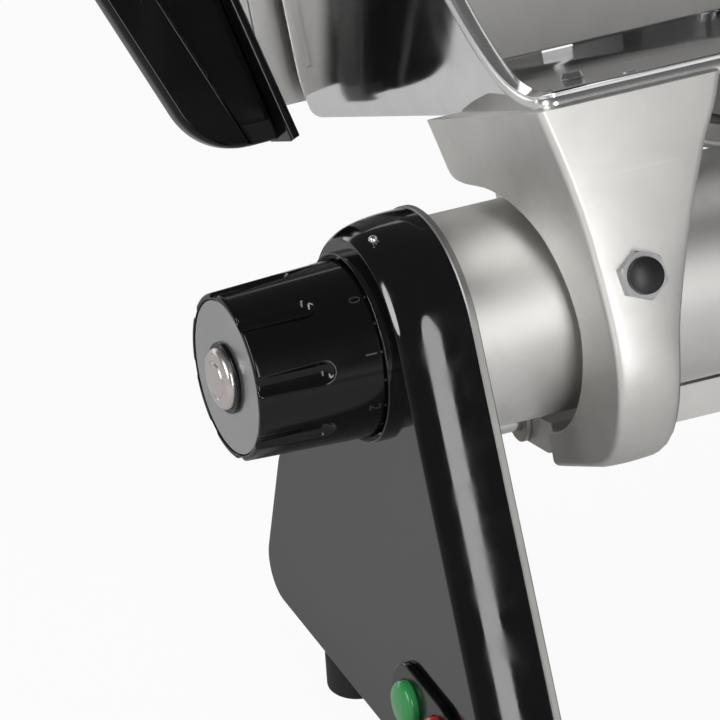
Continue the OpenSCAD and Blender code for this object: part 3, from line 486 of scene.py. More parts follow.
cap_round = arc(CAP_R - 0.15 - CAP_SOFT, 3.3, CAP_SOFT, -85, 0, 10)
cap_profile = [(r, y - CAP_RISE) for r, y in cap_step + cap_round]
cap_profile += [(CAP_R - 0.15, CAP_UNDER), (0.3, CAP_UNDER)]
settle(skin("knob_face", [turning(disc_profile, beam)], closed=True), "knob", dial_face,
       ("knob_face_disc",))
settle(skin("cap_ring", [turning(ring_profile, beam)], closed=True), "knob", moulding)
settle(skin("knob_cap_dome", [turning(cap_profile, beam)]), "knob", pearl, ("knob_cap",))
print("cap stands", CAP_RISE, "mm proud of the face")

# %% [markdown]
# The dial is printed round the back of the knob: plain numbers, each with a dot, read from the front
# when they pass under the index pin. Text objects give the outlines, and each point is then wrapped
# on to the cone, a hair above the moulding, so that the print follows the surface.

# %% Dial numbers
DIAL_PITCH = 37.0
DIAL_ZERO = 65.0
DIAL_LAST = 8
NUMBER_H = 4.8
TEXT_PER_HEIGHT = 1.35
NUMBER_Y = KNOB_LEN - 8.4
DOT_Y = KNOB_LEN - 1.9
DOT_R = 0.6
DOT_SIDES = 12
PRINT_LIFT = 0.12


def wrapped(x, y, angle):
    """A point of flat print, x to its right and y to its top, laid on the cone at an angle."""
    radius = cone_radius(y) + PRINT_LIFT
    a = radians(angle) - x / radius
    return beam(radius * cos(a), y, radius * sin(a))


def number_outline(text):
    curve = bpy.data.curves.new("dial_figure", "FONT")
    curve.body = text
    curve.size = NUMBER_H * TEXT_PER_HEIGHT
    curve.align_x = "CENTER"
    figure = linked("dial_figure", curve)
    bpy.context.view_layer.update()
    flat = figure.evaluated_get(bpy.context.evaluated_depsgraph_get()).to_mesh()
    points = [(v.co.x, v.co.y) for v in flat.vertices]
    faces = [list(f.vertices) for f in flat.polygons]
    figure.to_mesh_clear()
    bpy.data.objects.remove(figure)
    return points, faces


def dial_mesh():
    points, faces = [], []
    for i in range(DIAL_LAST + 1):
        angle = DIAL_ZERO - DIAL_PITCH * i
        outline, fill = number_outline(str(i))
        base = len(points)
        points += [wrapped(x, NUMBER_Y + y, angle) for x, y in outline]
        faces += [[base + k for k in f] for f in fill]
        for half in (0.0, DIAL_PITCH / 2):
            base = len(points)
            dot = arc(0, DOT_Y, DOT_R, 0, 360 - 360 / DOT_SIDES, DOT_SIDES - 1)
            points += [wrapped(x, y, angle - half) for x, y in dot]
            faces.append([base + k for k in range(DOT_SIDES)])
    mesh = bpy.data.meshes.new("dial_numbers")
    mesh.from_pydata(points, [], faces)
    shaded(mesh)
    return mesh


dial = settle(linked("dial_numbers", dial_mesh()), "knob", print_grey)
print("dial numbers: 0 to", DIAL_LAST, "with", len(dial.data.polygons), "faces")

# %% [markdown]
# The uprights are enamelled castings: an arch round the beam that widens to the foot, with a generous
# rounded edge towards the outside. The outline is the hull of four circles, found by walking round the
# compass and taking the furthest circle each way. Rings of that outline, drawn in step by step, make
# the edge. Its section is a list of turns, each spread over a length: a tight one at the flat front, a
# broad bevel, then an ever gentler curve into the side, which is what gives each face its highlight.

# %% Uprights and their back plates
low, high = beam_box("front_upright")
ARCH_R = high.z
CORNER_R = 20.0
WAIST_IN, WAIST_AT = 9.0, 0.7
FLAT_IN, PLATE_SOFT, PLATE_IN = 3.0, 0.5, 0.9
EDGE_TURNS = [(0.0, 50.0, 0.8), (50.0, 62.0, 3.6), (62.0, 75.0, 4.0), (75.0, 83.0, 7.0),
              (83.0, 90.0, 10.0)]
LEFT_X, RIGHT_X, FOOT_Z = low.x + CORNER_R, high.x - CORNER_R, low.z + CORNER_R
FRONT_Y, BACK_Y = low.y, high.y
ARCH = [(0, 0, ARCH_R), (LEFT_X + WAIST_IN, WAIST_AT * FOOT_Z, CORNER_R), (LEFT_X, FOOT_Z, CORNER_R),
        (RIGHT_X, FOOT_Z, CORNER_R)]


def round_hull(circles, grow, steps=288):
    """Points round the hull of some circles (x, z, radius), each grown."""
    points = []
    for k in range(steps):
        x, z = cos(tau * k / steps), sin(tau * k / steps)
        far = max(circles, key=lambda c: c[0] * x + c[1] * z + c[2])
        points.append((far[0] + (far[2] + grow) * x, far[1] + (far[2] + grow) * z))
    return points


def edge_section(steps=7):
    """Points (outward, deep) along the casting's edge, from its list of turns."""
    x, y, points = 0.0, 0.0, [(0.0, 0.0)]
    for start, end, length in EDGE_TURNS:
        for i in range(steps):
            a = radians(start + (end - start) * (i + 0.5) / steps)
            x += length / steps * cos(a)
            y += length / steps * sin(a)
            points.append((x, y))
    return points


def upright(name, y_front, y_back, node):
    """A casting with its rounded edge at y_front; y may run either way."""
    way = 1 if y_back > y_front else -1
    depth = abs(y_back - y_front)
    edge = edge_section()
    inset, deep = edge[-1]
    profile = [(-inset - FLAT_IN, 0.0)] + [(x - inset, y) for x, y in edge]
    profile += [(0.0, deep + (depth - deep) * t / 3) for t in (1, 2, 3)]
    rings = [[beam(x, y_front + way * y, z) for x, z in round_hull(ARCH, grow)] for grow, y in profile]
    settle(skin(name, [rings]), "frame", enamel, (node,))


def back_plate(name, node):
    low, high = beam_box(node)
    proud, soft = high.z - ARCH_R, PLATE_SOFT
    outline = [(0, 0, ARCH_R - PLATE_IN)] + ARCH[1:]
    profile = [(proud - soft, low.y), (proud, low.y + soft), (proud, high.y - soft),
               (proud - soft, high.y)]
    rings = [[beam(x, y, z) for x, z in round_hull(outline, grow)] for grow, y in profile]
    settle(skin(name, [rings], angle=25), "frame", cut_edge, (node,))


upright("front_casting", FRONT_Y, BACK_Y, "front_upright")
back_plate("front_plate", "front_backplate")
low, high = beam_box("rear_upright")
upright("rear_casting", high.y, low.y, "rear_upright")
back_plate("rear_plate", "rear_backplate")
print("upright:", round(BACK_Y - FRONT_Y, 1), "mm deep, arch radius", round(ARCH_R, 1))

# %% [markdown]
# A slim collar closes the gap behind the knob, and a small bright pin above it marks the dial. Only
# the collar's rim is ever seen, so it is a plain turning with a soft edge.

# %% Collar and index pin
low, high = beam_box("knob_collar")
COLLAR_IN = REAR_R + 1.5
COLLAR_R = COLLAR_IN + 1.0
COLLAR_SOFT, LIP_SOFT = 0.5, 0.4
LIP_Y, COLLAR_BACK = low.y + 0.8, high.y + 1.0
collar_profile = [(COLLAR_IN, COLLAR_BACK), (COLLAR_IN, LIP_Y)]
collar_profile += arc(COLLAR_IN + LIP_SOFT, LIP_Y, LIP_SOFT, 180, 270, 4)
collar_profile += arc(COLLAR_R - COLLAR_SOFT, low.y + COLLAR_SOFT, COLLAR_SOFT, -90, 0, 6)
collar_profile += [(COLLAR_R, COLLAR_BACK)]
settle(skin("collar_ring", [turning(collar_profile, beam, 200)], closed=True), "frame",
       enamel, ("knob_collar",))
dressed("index_pin", "frame", bright, edge=0)
print("collar:", round(2 * COLLAR_R, 1), "mm across")

# %% [markdown]
# The beam is a plain satin tube between the two plates, turned and lightly polished, and below it runs
# a ground guide rod. The tube is made again with many sides, so that its long highlight has no facets.

# %% Beam tube and guide rod
TUBE_WALL, TUBE_SOFT, ROD_SOFT, TIP_R = 5.0, 0.3, 0.5, 0.2


def bar_profile(inner, outer, front, back, soft):
    return [(inner, front), (outer - soft, front), (outer, front + soft), (outer, back - soft),
            (outer - soft, back), (inner, back)]


low, high = beam_box("beam_tube")
TUBE_R, TUBE_IN = high.x, high.x - TUBE_WALL
tube_profile = bar_profile(TUBE_IN, TUBE_R, low.y, high.y, TUBE_SOFT)
settle(skin("beam_sleeve", [turning(tube_profile, beam, 256)], closed=True), "frame",
       turned_tube, ("beam_tube",))
low, high = beam_box("guide_rod")
ROD_R = (high.x - low.x) / 2
ROD_X, ROD_Z = (low.x + high.x) / 2, (low.z + high.z) / 2
rod_profile = bar_profile(TIP_R, ROD_R, low.y, high.y, ROD_SOFT)
rod_rings = turning(rod_profile, lambda x, y, z: beam(ROD_X + x, y, ROD_Z + z), 64)
settle(skin("guide_bar", [rod_rings]), "frame", bright, ("guide_rod",))
print("tube:", round(2 * TUBE_R, 1), "mm, rod:", round(2 * ROD_R, 1), "mm")

# %% [markdown]
# The carriage arm is the casting that gives the machine its character: a broad crown under the tray
# that narrows to a waist and hooks round beneath the beam. It is lofted. Each station is a line from
# the inner edge to the outer one, and round that line lies a rectangle with rounded corners. The front
# and the back follow curves measured down the arm, so the flare of the crown comes out smooth. Towards
# the inside the front also slants forward, most of all in the crown.

# %% Stations of the carriage arm
low, high = slope_box("carriage_arm")
ARM_OUT = high.x
ARM_TOP = high.z + 1.4
ARM_FOOT = low.z
CROWN_IN = -13.0
CROWN_LEVELS = (ARM_TOP, 71, 67, 63, 59, 56)
CROWN_CORNER = [(0.3, 53.8), (1.4, 52.2), (3.4, 51.0), (6, 50.2), (9, 49.4)]
CORNER_OUT, CORNER_FALL = 55, 0.7
BORE_R = TUBE_R + 6.9
HEEL_R = 45.0
TOE_P = -4.0
SIDE_ANGLE, SIDE_RISE = 30, 4.0
FRONT_CURVE = [(ARM_TOP, 112.6), (60, 116.0), (44, 119.2), (30, 121.2), (14, 122.4), (-2, 123.2),
               (-14, 123.4), (ARM_FOOT, 122.0)]
SLANT_CURVE = [(ARM_TOP, 0.1), (47, 0.1), (34, 0.086), (4, 0.03), (-14, 0.0), (ARM_FOOT, 0.0)]
BACK_CURVE = [(ARM_TOP, 187.5), (65, 183.5), (52, 176.4), (29, 166.4), (5, 157.4), (-21, 150.0),
              (ARM_FOOT, 147.5)]


def along(curve, n):
    """Smooth value at height n of a falling list of (height, value)."""
    n = min(max(n, curve[-1][0]), curve[0][0])
    i = next(k for k in range(len(curve) - 1) if n >= curve[k + 1][0])

    def tilt(k):
        a, b = curve[max(k - 1, 0)], curve[min(k + 1, len(curve) - 1)]
        return (b[1] - a[1]) / (b[0] - a[0])

    (n0, v0), (n1, v1) = curve[i], curve[i + 1]
    span = n1 - n0
    t = (n - n0) / span
    m0, m1 = tilt(i) * span, tilt(i + 1) * span
    start = ((2 * t - 3) * t * t + 1) * v0 + ((t - 2) * t + 1) * t * m0
    return start + (3 - 2 * t) * t * t * v1 + (t - 1) * t * t * m1


def outer_point(angle):
    """Where a ray from the beam's axis meets the arm's outer edge; angle in degrees."""
    a = radians(angle)
    if angle > SIDE_ANGLE:
        rise = SIDE_RISE * (angle - SIDE_ANGLE) / (90 - SIDE_ANGLE)
        return ARM_OUT, ARM_OUT * tan(radians(SIDE_ANGLE)) + rise
    heel_p, heel_n = ARM_OUT - HEEL_R, ARM_FOOT + HEEL_R
    if ARM_OUT * tan(a) > heel_n:
        return ARM_OUT, ARM_OUT * tan(a)
    half = heel_p * cos(a) + heel_n * sin(a)
    reach = half + sqrt(half ** 2 - heel_p ** 2 - heel_n ** 2 + HEEL_R ** 2)
    p, n = reach * cos(a), reach * sin(a)
    return (p, n) if p > heel_p else (ARM_FOOT / tan(a), ARM_FOOT)


def arm_stations():
    stations = [((CROWN_IN, n), (ARM_OUT, n)) for n in CROWN_LEVELS]
    for i, (p, n) in enumerate(CROWN_CORNER):
        stations.append(((CROWN_IN + p, n), (ARM_OUT, CORNER_OUT - CORNER_FALL * i)))
    for angle in range(84, -91, -6):
        a = radians(angle)
        stations.append(((BORE_R * cos(a), BORE_R * sin(a)), outer_point(angle)))
    stations.append(((TOE_P, -sqrt(BORE_R ** 2 - TOE_P ** 2)), (TOE_P, ARM_FOOT)))
    return stations


print("arm:", len(arm_stations()), "stations")

# %% [markdown]
# Round each station go the corners: small ones inside, next to the beam, and larger ones outside,
# where a hand would meet them. The outer face is crowned by a millimetre, as a linished casting is.

# %% Carriage arm casting
INNER_SOFT, OUTER_SOFT, OUTER_CROWN = 1.0, 3.0, 0.9
CROWN_STEPS = 6


def arm_section():
    """A station's section as (end, across, side, along): ends and sides run from 0 to 1."""
    shape = []
    for turn, end, side, r in ((180, 0, 0, INNER_SOFT), (270, 1, 0, OUTER_SOFT), (0, 1, 1, OUTER_SOFT),
                               (90, 0, 1, INNER_SOFT)):
        centre_s = r if end == 0 else -r
        centre_y = r if side == 0 else -r
        shape += [(end, s, side, y) for s, y in arc(centre_s, centre_y, r, turn, turn + 90, 5)]
        if turn == 270:
            crown = [t / CROWN_STEPS for t in range(1, CROWN_STEPS)]
            shape += [(1, OUTER_CROWN * sin(pi * t), t, 0.0) for t in crown]
        elif turn != 90:
            shape += [(t if turn == 180 else 1 - t, 0.0, side, 0.0) for t in (0.25, 0.5, 0.75)]
    return shape


def arm_ring(inner, outer):
    length = dist(inner, outer)
    ring = []
    for end, s, side, y in arm_section():
        t = end + s / length
        p, n = inner[0] + (outer[0] - inner[0]) * t, inner[1] + (outer[1] - inner[1]) * t
        front_y = along(FRONT_CURVE, n) - along(SLANT_CURVE, n) * (ARM_OUT - p)
        back_y = along(BACK_CURVE, n)
        ring.append(slope(p, front_y + (back_y - front_y) * side + y, n))
    return ring


arm = skin("arm_casting", [[arm_ring(*station) for station in arm_stations()]], angle=60)
settle(arm, "carriage", cast_arm, ("carriage_arm",))
print("arm:", len(arm.data.vertices), "points")

# %% [markdown]
# A hexagon bush in the arm holds a spring plunger with a black button. The bush keeps its solid's form
# with softened edges. The button is turned, with a low dome.

# %% Lock bush and plunger button
dressed("lock_bush", "carriage", steel, edge=0.5)
low, high = slope_box("plunger_button")
BUTTON_R, BUTTON_Y, BUTTON_N = (high.y - low.y) / 2, (high.y + low.y) / 2, (high.z + low.z) / 2
DOME, DOME_RIM, DOME_DROP = 1.4, 0.2, 0.4
dome_r = (BUTTON_R ** 2 + DOME ** 2) / (2 * DOME)
dome_turn = degrees(asin((BUTTON_R - DOME_RIM) / dome_r))
dome = [(r, y + high.x - dome_r) for r, y in arc(0, 0, dome_r, 89.5, 90 - dome_turn, 12)]
button_profile = dome + [(BUTTON_R, high.x - DOME - DOME_DROP), (BUTTON_R, low.x), (TIP_R, low.x)]
button_rings = turning(button_profile, lambda x, y, z: slope(y, BUTTON_Y + x, BUTTON_N + z), 72)
settle(skin("plunger_dome", [button_rings]), "plunger", dull_black,
       ("plunger_button",))
print("button:", round(2 * BUTTON_R, 1), "mm")

# %% [markdown]
# The product tray is a polished sheet with its front edge turned up into a wall and a low lip round
# the upper end. A sheet is made as a surface first and given its thickness by a Solidify modifier. The
# bend is one profile carried along a path, tight at the floor and then soft, because a wall that is
# not quite flat gives a livelier reflection. The height of the wall changes along the way, and a round
# bead follows its rim.

# %% Path and profile of the tray's wall
low, high = slope_box("product_tray")
BEND_R = 5.5
BEND_END = 15.0
SOFT_R = 60.0
LIP_H = 7.5
WALL_FULL, WALL_FALL = -10.0, 1.8
PLAN_R = 8.0
LEFT_R = 10.0
LOW_STEPS, HIGH_STEPS, END_STEPS = 24, 16, 16
TRAY_LOW, TRAY_END, TRAY_FRONT, TRAY_BACK = low.x - 2.0, high.x, low.y, high.y
TRAY_UNDER, TRAY_TOP = low.z - 0.8, high.z
BEND_TOP = BEND_R * (1 - sin(radians(BEND_END)))
WALL_TRUE = BEND_TOP + SOFT_R * sin(radians(BEND_END))


def wall_height(p):
    """Height of the front wall, which falls off towards the upper end."""
    t = min(1.0, max(0.0, (TRAY_END - PLAN_R - p) / (TRAY_END - PLAN_R - WALL_FULL)))
    return LIP_H + (TRAY_TOP - TRAY_UNDER - LIP_H) * t ** WALL_FALL


def corner_path(cp, cy, r, start, end, steps, height):
    return [(cp + r * c, cy + r * s, (c, s), height) for c, s in arc(0, 0, 1, start, end, steps)]


def tray_path():
    """Stations (p, y, way out, wall height) round the lower corner, the front and the upper end."""
    cp, cy = TRAY_END - PLAN_R, TRAY_FRONT + PLAN_R
    path = corner_path(TRAY_LOW + LEFT_R, TRAY_FRONT + LEFT_R, LEFT_R, 180, 261, 9, wall_height(TRAY_LOW))
    first = TRAY_LOW + LEFT_R
    stops = [first + (WALL_FULL - first) * i / LOW_STEPS for i in range(LOW_STEPS)]
    stops += [WALL_FULL + (cp - WALL_FULL) * i / HIGH_STEPS for i in range(HIGH_STEPS)]
    path += [(p, TRAY_FRONT, (0.0, -1.0), wall_height(p)) for p in stops]
    lip = wall_height(TRAY_END)
    path += corner_path(cp, cy, PLAN_R, -90, 0, 12, lip)
    ends = [cy + (TRAY_BACK - cy) * i / END_STEPS for i in range(1, END_STEPS + 1)]
    return path + [(TRAY_END, y, (1.0, 0.0), lip) for y in ends]


def wall_out(up):
    """How far out the wall stands at a height; it leans in at the soft bend."""
    return sqrt(SOFT_R ** 2 - max(0.0, WALL_TRUE - up) ** 2) - SOFT_R


def wall_profile(height):
    """Points (outward, up) of the tight bend, the soft bend and the wall."""
    inner = wall_out(BEND_TOP) - BEND_R * cos(radians(BEND_END))
    rises = [BEND_TOP + (height - BEND_TOP) * i / 10 for i in range(1, 11)]
    return arc(inner, BEND_R, BEND_R, -90, -BEND_END, 8) + [(wall_out(up), up) for up in rises]


print("tray path:", len(tray_path()), "stations of", len(wall_profile(LIP_H)), "points")

# %% [markdown]
# One large face makes the floor, and strips of quads make the wall. The surface has to face down and
# out, because the thickness is added on its back. The bead is a round section carried along the rim.

# %% Product tray
TRAY_T = 4.5
RIM_SOFT, RIM_SEGMENTS, RIM_ANGLE = 1.4, 4, 50
BEAD_R = 3.7
BEAD_IN = 3.0
BEAD_SIDES = 24


def tray_mesh():
    points, faces = [], []
    path = tray_path()
    width = len(wall_profile(LIP_H))
    for p, y, out, height in path:
        points += [slope(p + out[0] * x, y + out[1] * x, TRAY_UNDER + up) for x, up in wall_profile(height)]
    for i in range(len(path) - 1):
        for k in range(width - 1):
            a, b = i * width + k, (i + 1) * width + k
            faces.append([a, b, b + 1, a + 1])
    points.append(slope(TRAY_LOW, TRAY_BACK, TRAY_UNDER))
    faces.append([i * width for i in reversed(range(len(path)))] + [len(points) - 1])
    mesh = bpy.data.meshes.new("tray_sheet")
    mesh.from_pydata(points, [], faces)
    tidy = bmesh.new()
    tidy.from_mesh(mesh)
    bmesh.ops.recalc_face_normals(tidy, faces=tidy.faces)
    down = max(tidy.faces, key=lambda f: f.calc_area())
    if down.normal.dot(SQUARE) > 0:
        bmesh.ops.reverse_faces(tidy, faces=tidy.faces)
    tidy.to_mesh(mesh)
    tidy.free()
    shaded(mesh, 40)
    return mesh


def rim_bead():
    """Rings of the round bead along the rim."""
    spots, rings = [], []
    for p, y, out, height in tray_path():
        off = wall_out(height) - BEAD_IN
        spots.append(slope(p + out[0] * off, y + out[1] * off, TRAY_UNDER + height - BEAD_R))
    section = arc(0, 0, BEAD_R, 0, 360 - 360 / BEAD_SIDES, BEAD_SIDES - 1)
    for i, spot in enumerate(spots):
        ahead = (spots[min(i + 1, len(spots) - 1)] - spots[max(i - 1, 0)]).normalized()
        side = ahead.cross(SQUARE).normalized()
        over = side.cross(ahead)
        rings.append([spot + (side * x + over * y) * MM for x, y in section])
    return rings


tray = linked("tray_sheet", tray_mesh())
thick = tray.modifiers.new("sheet", "SOLIDIFY")
thick.thickness = TRAY_T * MM
thick.offset = -1.0
soften(tray, "rim", RIM_SOFT, RIM_SEGMENTS, RIM_ANGLE)
settle(tray, "carriage", polished, ("product_tray",))
settle(skin("tray_bead", [rim_bead()], angle=60), "carriage", buffed)
print("tray:", round(TRAY_END - TRAY_LOW), "by", round(TRAY_BACK - TRAY_FRONT), "mm")

# %% [markdown]
# The carriage handle is a gloss black moulding: a flat-sided bulb for the palm, a waist, and a flange
# towards the tray, with a fine groove where the bulb meets the waist. Each is a slab whose outline is
# drawn in near its two faces, so that the edges come out round, and the waist ends below in a bevel.

# %% Carriage handle
HANDLE_LEAN = radians(22.0)
HANDLE_AT = (-161.0, 84.0, 98.0)
HANDLE_LEN = 78.0
BULB_R = 28.0
PALM_STEPS = 32
PART_Y = -8.4
GROOVE_HALF, GROOVE_LOW, GROOVE_STEP, GROOVE_TOP = 1.5, -26.0, 0.6, 20.0
WAIST_LAP, WAIST_LOW, WAIST_HEEL, WAIST_TOP = 0.5, -27.6, -32.0, 10.0
FLANGE_Y, FLANGE_T, FLANGE_SKEW = 6.0, 4.2, 0.16
FLANGE_PIVOT, FLANGE_LOW, FLANGE_TOP = -14.0, -32.8, 12.0
PALM_ACROSS = [(6.0, 2.2), (5.7, 1.4), (5.0, 0.7), (4.0, 0.2), (2.6, 0.0), (-2.0, 0.0), (-5.0, 0.8),
               (-8.0, 2.6), (-10.4, 5.4), (-12.0, 9.5)]
GROOVE_ACROSS = [(2.0, 0.8), (1.4, 0.0), (-9.0, 0.0), (-9.8, 0.8)]
WAIST_ACROSS = [(2.4, 10.0), (2.0, 8.8), (-2.6, 0.8), (-3.8, 0.0), (-8.6, 0.0), (-9.4, 1.0)]
FLANGE_ACROSS = [(12.0, 1.0), (11.7, 0.3), (11.0, 0.0), (-11.0, 0.0), (-11.7, 0.3), (-12.0, 1.0)]


def handle_point(x, y, z):
    """A point of the handle: y is its depth, z its length, leaning forward about the slope's p axis."""
    back = y * cos(HANDLE_LEAN) - z * sin(HANDLE_LEAN)
    up = y * sin(HANDLE_LEAN) + z * cos(HANDLE_LEAN)
    return slope(HANDLE_AT[0] + x, HANDLE_AT[1] + back, HANDLE_AT[2] + up)


def palm_outline(inset):
    """The palm from the side: a long round outline with a straight back."""
    r = BULB_R - inset
    half = degrees(acos((PART_Y - inset) / r))
    lower = arc(0, 0, r, 360 - half, 180, PALM_STEPS)
    return lower + [(y, z + HANDLE_LEN) for y, z in arc(0, 0, r, 180, half, PALM_STEPS)]


def flange_y(z):
    """Depth of the flange's front face, which stands more upright than the palm."""
    return FLANGE_Y + FLANGE_SKEW * (z - FLANGE_PIVOT)


def groove_outline(inset):
    front, back, top = PART_Y - GROOVE_HALF, PART_Y + GROOVE_HALF, HANDLE_LEN + GROOVE_TOP - inset
    low_z = inset + GROOVE_LOW
    return [(front, low_z), (back, low_z - GROOVE_STEP), (back, top), (front, top)]


def waist_outline(raised):
    front, top = PART_Y + WAIST_LAP, HANDLE_LEN + WAIST_TOP
    return [(front, raised + WAIST_LOW), (flange_y(WAIST_HEEL) + WAIST_LAP, raised + WAIST_HEEL),
            (flange_y(top) + WAIST_LAP, top), (front, top)]


def flange_outline(inset):
    low_z, high_z = inset + FLANGE_LOW, HANDLE_LEN + FLANGE_TOP - inset
    return [(flange_y(low_z) + inset, low_z), (flange_y(low_z) + FLANGE_T - inset, low_z),
            (flange_y(high_z) + FLANGE_T - inset, high_z), (flange_y(high_z) + inset, high_z)]


def slab(outline, section):
    """Rings across a slab; the section lists places across and how far the outline draws in."""
    return [[handle_point(x, y, z) for y, z in outline(inset)] for x, inset in section]


slabs = [slab(palm_outline, PALM_ACROSS), slab(groove_outline, GROOVE_ACROSS),
         slab(waist_outline, WAIST_ACROSS), slab(flange_outline, FLANGE_ACROSS)]
handle = skin("handle_moulding", slabs, angle=40)
settle(handle, "carriage", moulding, ("carriage_handle",))
print("handle:", round(HANDLE_LEN + 2 * BULB_R), "mm long,", sum(len(s) for s in slabs), "rings")

# %% [markdown]
# The rest of the machine keeps the form of its solids. Edges are softened by an amount that suits each
# piece: a casting gets a broad round, a machined part a narrow one. The gauge plate also loses its
# lower front corner, and the slider's underside slants up beneath the rod.

# %% Dressed solids
SLOT_FINISH = {"black_enamel": enamel, "black_moulding": moulding, "black_rubber": rubber,
               "satin_aluminium": satin, "polished_aluminium": polished, "bronze": bronze,
               "white_nylon": nylon, "green_moulding": green, "red_moulding": red}
DRESSING = [
    ("frame", "black_enamel",
     {"base_pan": 2.5, "head_casting": 3.0, "belt_cover": 2.0, "motor_housing": 3.0}),
    ("frame", "black_rubber", {"rubber_feet": 1.2}),
    ("frame", "satin_aluminium", {"spindle_plate": 0.6, "gauge_guide": 0.5}),
    ("frame", "black_moulding", {"switch_bezel": 0.8, "cable_gland": 0.6}),
    ("frame", "satin_aluminium", {"blade_guard": 1.2}),
    ("frame", "black_moulding", {"cover_knob": 1.2}),
    ("frame", "polished_aluminium", {"blade_cover": 1.0}),
    ("gauge", "satin_aluminium", {"gauge_bracket": 0.8}),
    ("carriage", "bronze", {"slider_bushes": 0.3}),
    ("carriage", "white_nylon", {"steady_shoe": 0.6}),
    ("carriage", "satin_aluminium", {"rod_posts": 0.8}),
    ("pusher_slide", "satin_aluminium", {"pusher_carrier": 0.8}),
    ("pusher", "satin_aluminium", {"pusher_plate": 1.0}),
    ("pusher", "black_moulding", {"pusher_grip": 2.0}),
    ("start_button", "green_moulding", {"start_button": 0.8}),
    ("stop_button", "red_moulding", {"stop_button": 0.8}),
]
for body, slot, edges in DRESSING:
    for node, edge in edges.items():
        dressed(node, body, SLOT_FINISH[slot], edge)
PLATE_EDGE, PLATE_CORNER = 1.5, 28.0
PLATE_WAY = Vector((0, -0.81, 0)) - SQUARE * 0.58
low, _ = slope_box("gauge_plate")
corner = slope(low.x, low.y, low.z + PLATE_CORNER)
dressed("gauge_plate", "gauge", satin, PLATE_EDGE, (corner, PLATE_WAY))
SLIDER_EDGE, SLIDER_RISE, SLIDER_RUN = 1.0, 8.5, 36.0
low, _ = slope_box("carriage_slider")
corner = slope(low.x, low.y, low.z + SLIDER_RISE)
underside = -(UP_SLOPE * SLIDER_RISE + SQUARE * SLIDER_RUN).normalized()
dressed("carriage_slider", "carriage", satin, SLIDER_EDGE, (corner, underside))
print("dressed:", sum(len(edges) for _, _, edges in DRESSING) + 2)

# %% [markdown]
# What is left are small or hidden solids: shafts, bearings, pulleys, the belt, pins and screws. Their
# shapes are right as they are, so each keeps its mesh and takes a finish.

# %% Solids that keep their shape
KEPT = [
    (steel, ["blade_bearings", "cover_stud", "upright_screws", "knob_spindle", "scroll_cam", "follower_pin",
             "gauge_screws", "tray_screws", "blade_shaft", "blade_pulley", "motor_shaft", "motor_pulley"]),
    (bright, ["gauge_rod", "pusher_rod", "pusher_spikes"]),
    (blade_steel, ["blade"]), (satin, ["motor"]), (rubber, ["drive_belt"]),
]
KEPT_ANGLE = 30
for material, names in KEPT:
    for node in names:
        mesh = nodes[node].data
        mesh.materials.clear()
        mesh.materials.append(material)
        shaded(mesh, KEPT_ANGLE)
print("kept:", sum(len(names) for _, names in KEPT))

# %% [markdown]
# Then the studio. The photograph was taken from high on the right, from so far away that parallel
# edges stay parallel, so the camera stands well off with a long lens. The ground takes light and
# shadow as paper does. It glows white to the camera, and only a little in a reflection.

# %% Camera and ground
LOOK_AT = beam(0, 54.5, -6.4)
TO_CAMERA = Vector((0.7696, -0.3427, 0.5388)).normalized()
CAMERA_FAR = 8.0
MM_ACROSS = 268.4
SENSOR = 36.0
lens = bpy.data.cameras.new("studio_camera")
lens.sensor_width = SENSOR
lens.lens = SENSOR * CAMERA_FAR / (MM_ACROSS * MM)
camera = linked("studio_camera", lens)
camera.location = LOOK_AT + TO_CAMERA * CAMERA_FAR
camera.rotation_euler = (-TO_CAMERA).to_track_quat("-Z", "Y").to_euler()
scene.camera = camera
GROUND_HALF = 8
PAPER_TONE, PAPER_GLOW, PAPER_MIRRORED = 0.64, 0.94, 0.2


def seen_directly(tree, mirrored):
    """One where the camera or a refraction looks, mirrored in a reflection, none for plain light."""
    path = add_node(tree, "LightPath")
    part = add_node(tree, "Math", {1: mirrored}, operation="MULTIPLY")
    both = add_node(tree, "Math", operation="ADD")
    total = add_node(tree, "Math", operation="ADD", use_clamp=True)
    wire(tree, (path, "Is Glossy Ray", part, 0), (path, "Is Camera Ray", both, 0), (part, "Value", both, 1),
         (both, "Value", total, 0), (path, "Is Transmission Ray", total, 1))
    return path, total


def paper():
    material = bpy.data.materials.new("studio_paper")
    material.use_nodes = True
    tree = material.node_tree
    tree.nodes.clear()
    matte = add_node(tree, "BsdfDiffuse", {"Color": (PAPER_TONE, PAPER_TONE, PAPER_TONE, 1)})
    glow = add_node(tree, "Emission")
    part = add_node(tree, "Math", {1: PAPER_GLOW}, operation="MULTIPLY")
    mix = add_node(tree, "MixShader")
    out = add_node(tree, "OutputMaterial")
    seen = seen_directly(tree, PAPER_MIRRORED)[1]
    wire(tree, (seen, "Value", part, 0), (part, "Value", mix, "Fac"), (matte, "BSDF", mix, 1),
         (glow, "Emission", mix, 2), (mix, "Shader", out, "Surface"))
    return material


ground_mesh = bpy.data.meshes.new("ground")
corners = [(x * GROUND_HALF, y * GROUND_HALF, 0) for x, y in ((-1, -1), (1, -1), (1, 1), (-1, 1))]
ground_mesh.from_pydata(corners, [], [(0, 1, 2, 3)])
ground_mesh.materials.append(paper())
ground = linked("ground", ground_mesh)
print("camera at", [round(v, 3) for v in camera.location])

# %% [markdown]
# Light comes from a tall soft box on the right, which draws the long highlights, and a slanting strip
# high in front. A lit wall behind and a low strip on the left whiten the rims. The lamps are ovals, and
# their brightness is given as it is seen. The sky adds a weak even light. The camera sees it white, but
# reflections find it dark overhead, which is what lets black enamel look black from above.

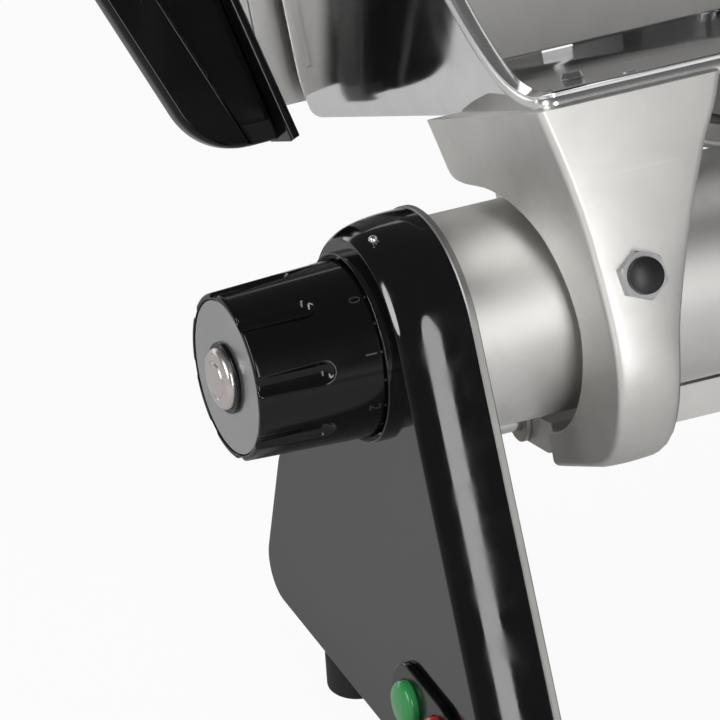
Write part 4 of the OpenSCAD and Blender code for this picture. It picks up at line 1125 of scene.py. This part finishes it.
# %% Lights and sky
SKY_LIGHT = 0.28
HORIZON_TONE, CEILING_TONE, CEILING_FROM = 0.9, 0.13, 0.25
LAMPS = [
    # name, way from the view's middle, metres away, width, height, brightness, and the way of the
    # width, which is level where it is None
    ("right_box", (0.91, 0.035, 0.42), 1.8, 0.44, 1.5, 7.6, None),
    ("front_key", (0.2, -0.76, 0.6), 1.8, 1.5, 0.42, 12.0, (0.675, -0.11, -0.39)),
    ("back_wall", (-0.9, 0.41, 0.16), 2.6, 4.0, 1.2, 1.2, None),
    ("left_low", (-0.9, -0.4, 0.1), 2.6, 2.0, 0.6, 1.2, None),
]


def soft_box(name, way, away, wide, tall, radiance, across):
    """An oval lamp that looks at the middle of the view."""
    data = bpy.data.lights.new(name, "AREA")
    data.shape = "ELLIPSE"
    data.size, data.size_y = wide, tall
    data.energy = radiance * pi * pi / 4 * wide * tall
    lamp = linked(name, data)
    z_axis = Vector(way).normalized()
    x_axis = Vector(across) if across else Vector((0, 0, 1)).cross(z_axis)
    x_axis = (x_axis - z_axis * x_axis.dot(z_axis)).normalized()
    turn = Matrix((x_axis, z_axis.cross(x_axis), z_axis)).transposed()
    lamp.matrix_world = Matrix.Translation(LOOK_AT + z_axis * away) @ turn.to_4x4()


for lamp in LAMPS:
    soft_box(*lamp)


def sky():
    world = bpy.data.worlds.new("studio")
    scene.world = world
    world.use_nodes = True
    tree = world.node_tree
    tree.nodes.clear()
    coords = add_node(tree, "TexCoord")
    height = add_node(tree, "SeparateXYZ")
    ramp = add_node(tree, "ValToRGB")
    stops = ((0.0, HORIZON_TONE), (CEILING_FROM, CEILING_TONE))
    for stop, (position, tone) in zip(ramp.color_ramp.elements, stops):
        stop.position = position
        stop.color = (tone, tone, tone, 1)
    light = add_node(tree, "Background", {"Color": (1, 1, 1, 1), "Strength": SKY_LIGHT})
    mirrored = add_node(tree, "Background")
    white = add_node(tree, "Background", {"Color": (1, 1, 1, 1)})
    first = add_node(tree, "MixShader")
    second = add_node(tree, "MixShader")
    out = add_node(tree, "OutputWorld")
    path, seen = seen_directly(tree, 1.0)
    wire(tree, (coords, "Generated", height, "Vector"), (height, "Z", ramp, "Fac"),
         (ramp, "Color", mirrored, "Color"), (seen, "Value", first, "Fac"), (light, "Background", first, 1),
         (mirrored, "Background", first, 2), (path, "Is Camera Ray", second, "Fac"),
         (first, "Shader", second, 1), (white, "Background", second, 2), (second, "Shader", out, "Surface"))


sky()
scene.view_settings.view_transform = "Standard"
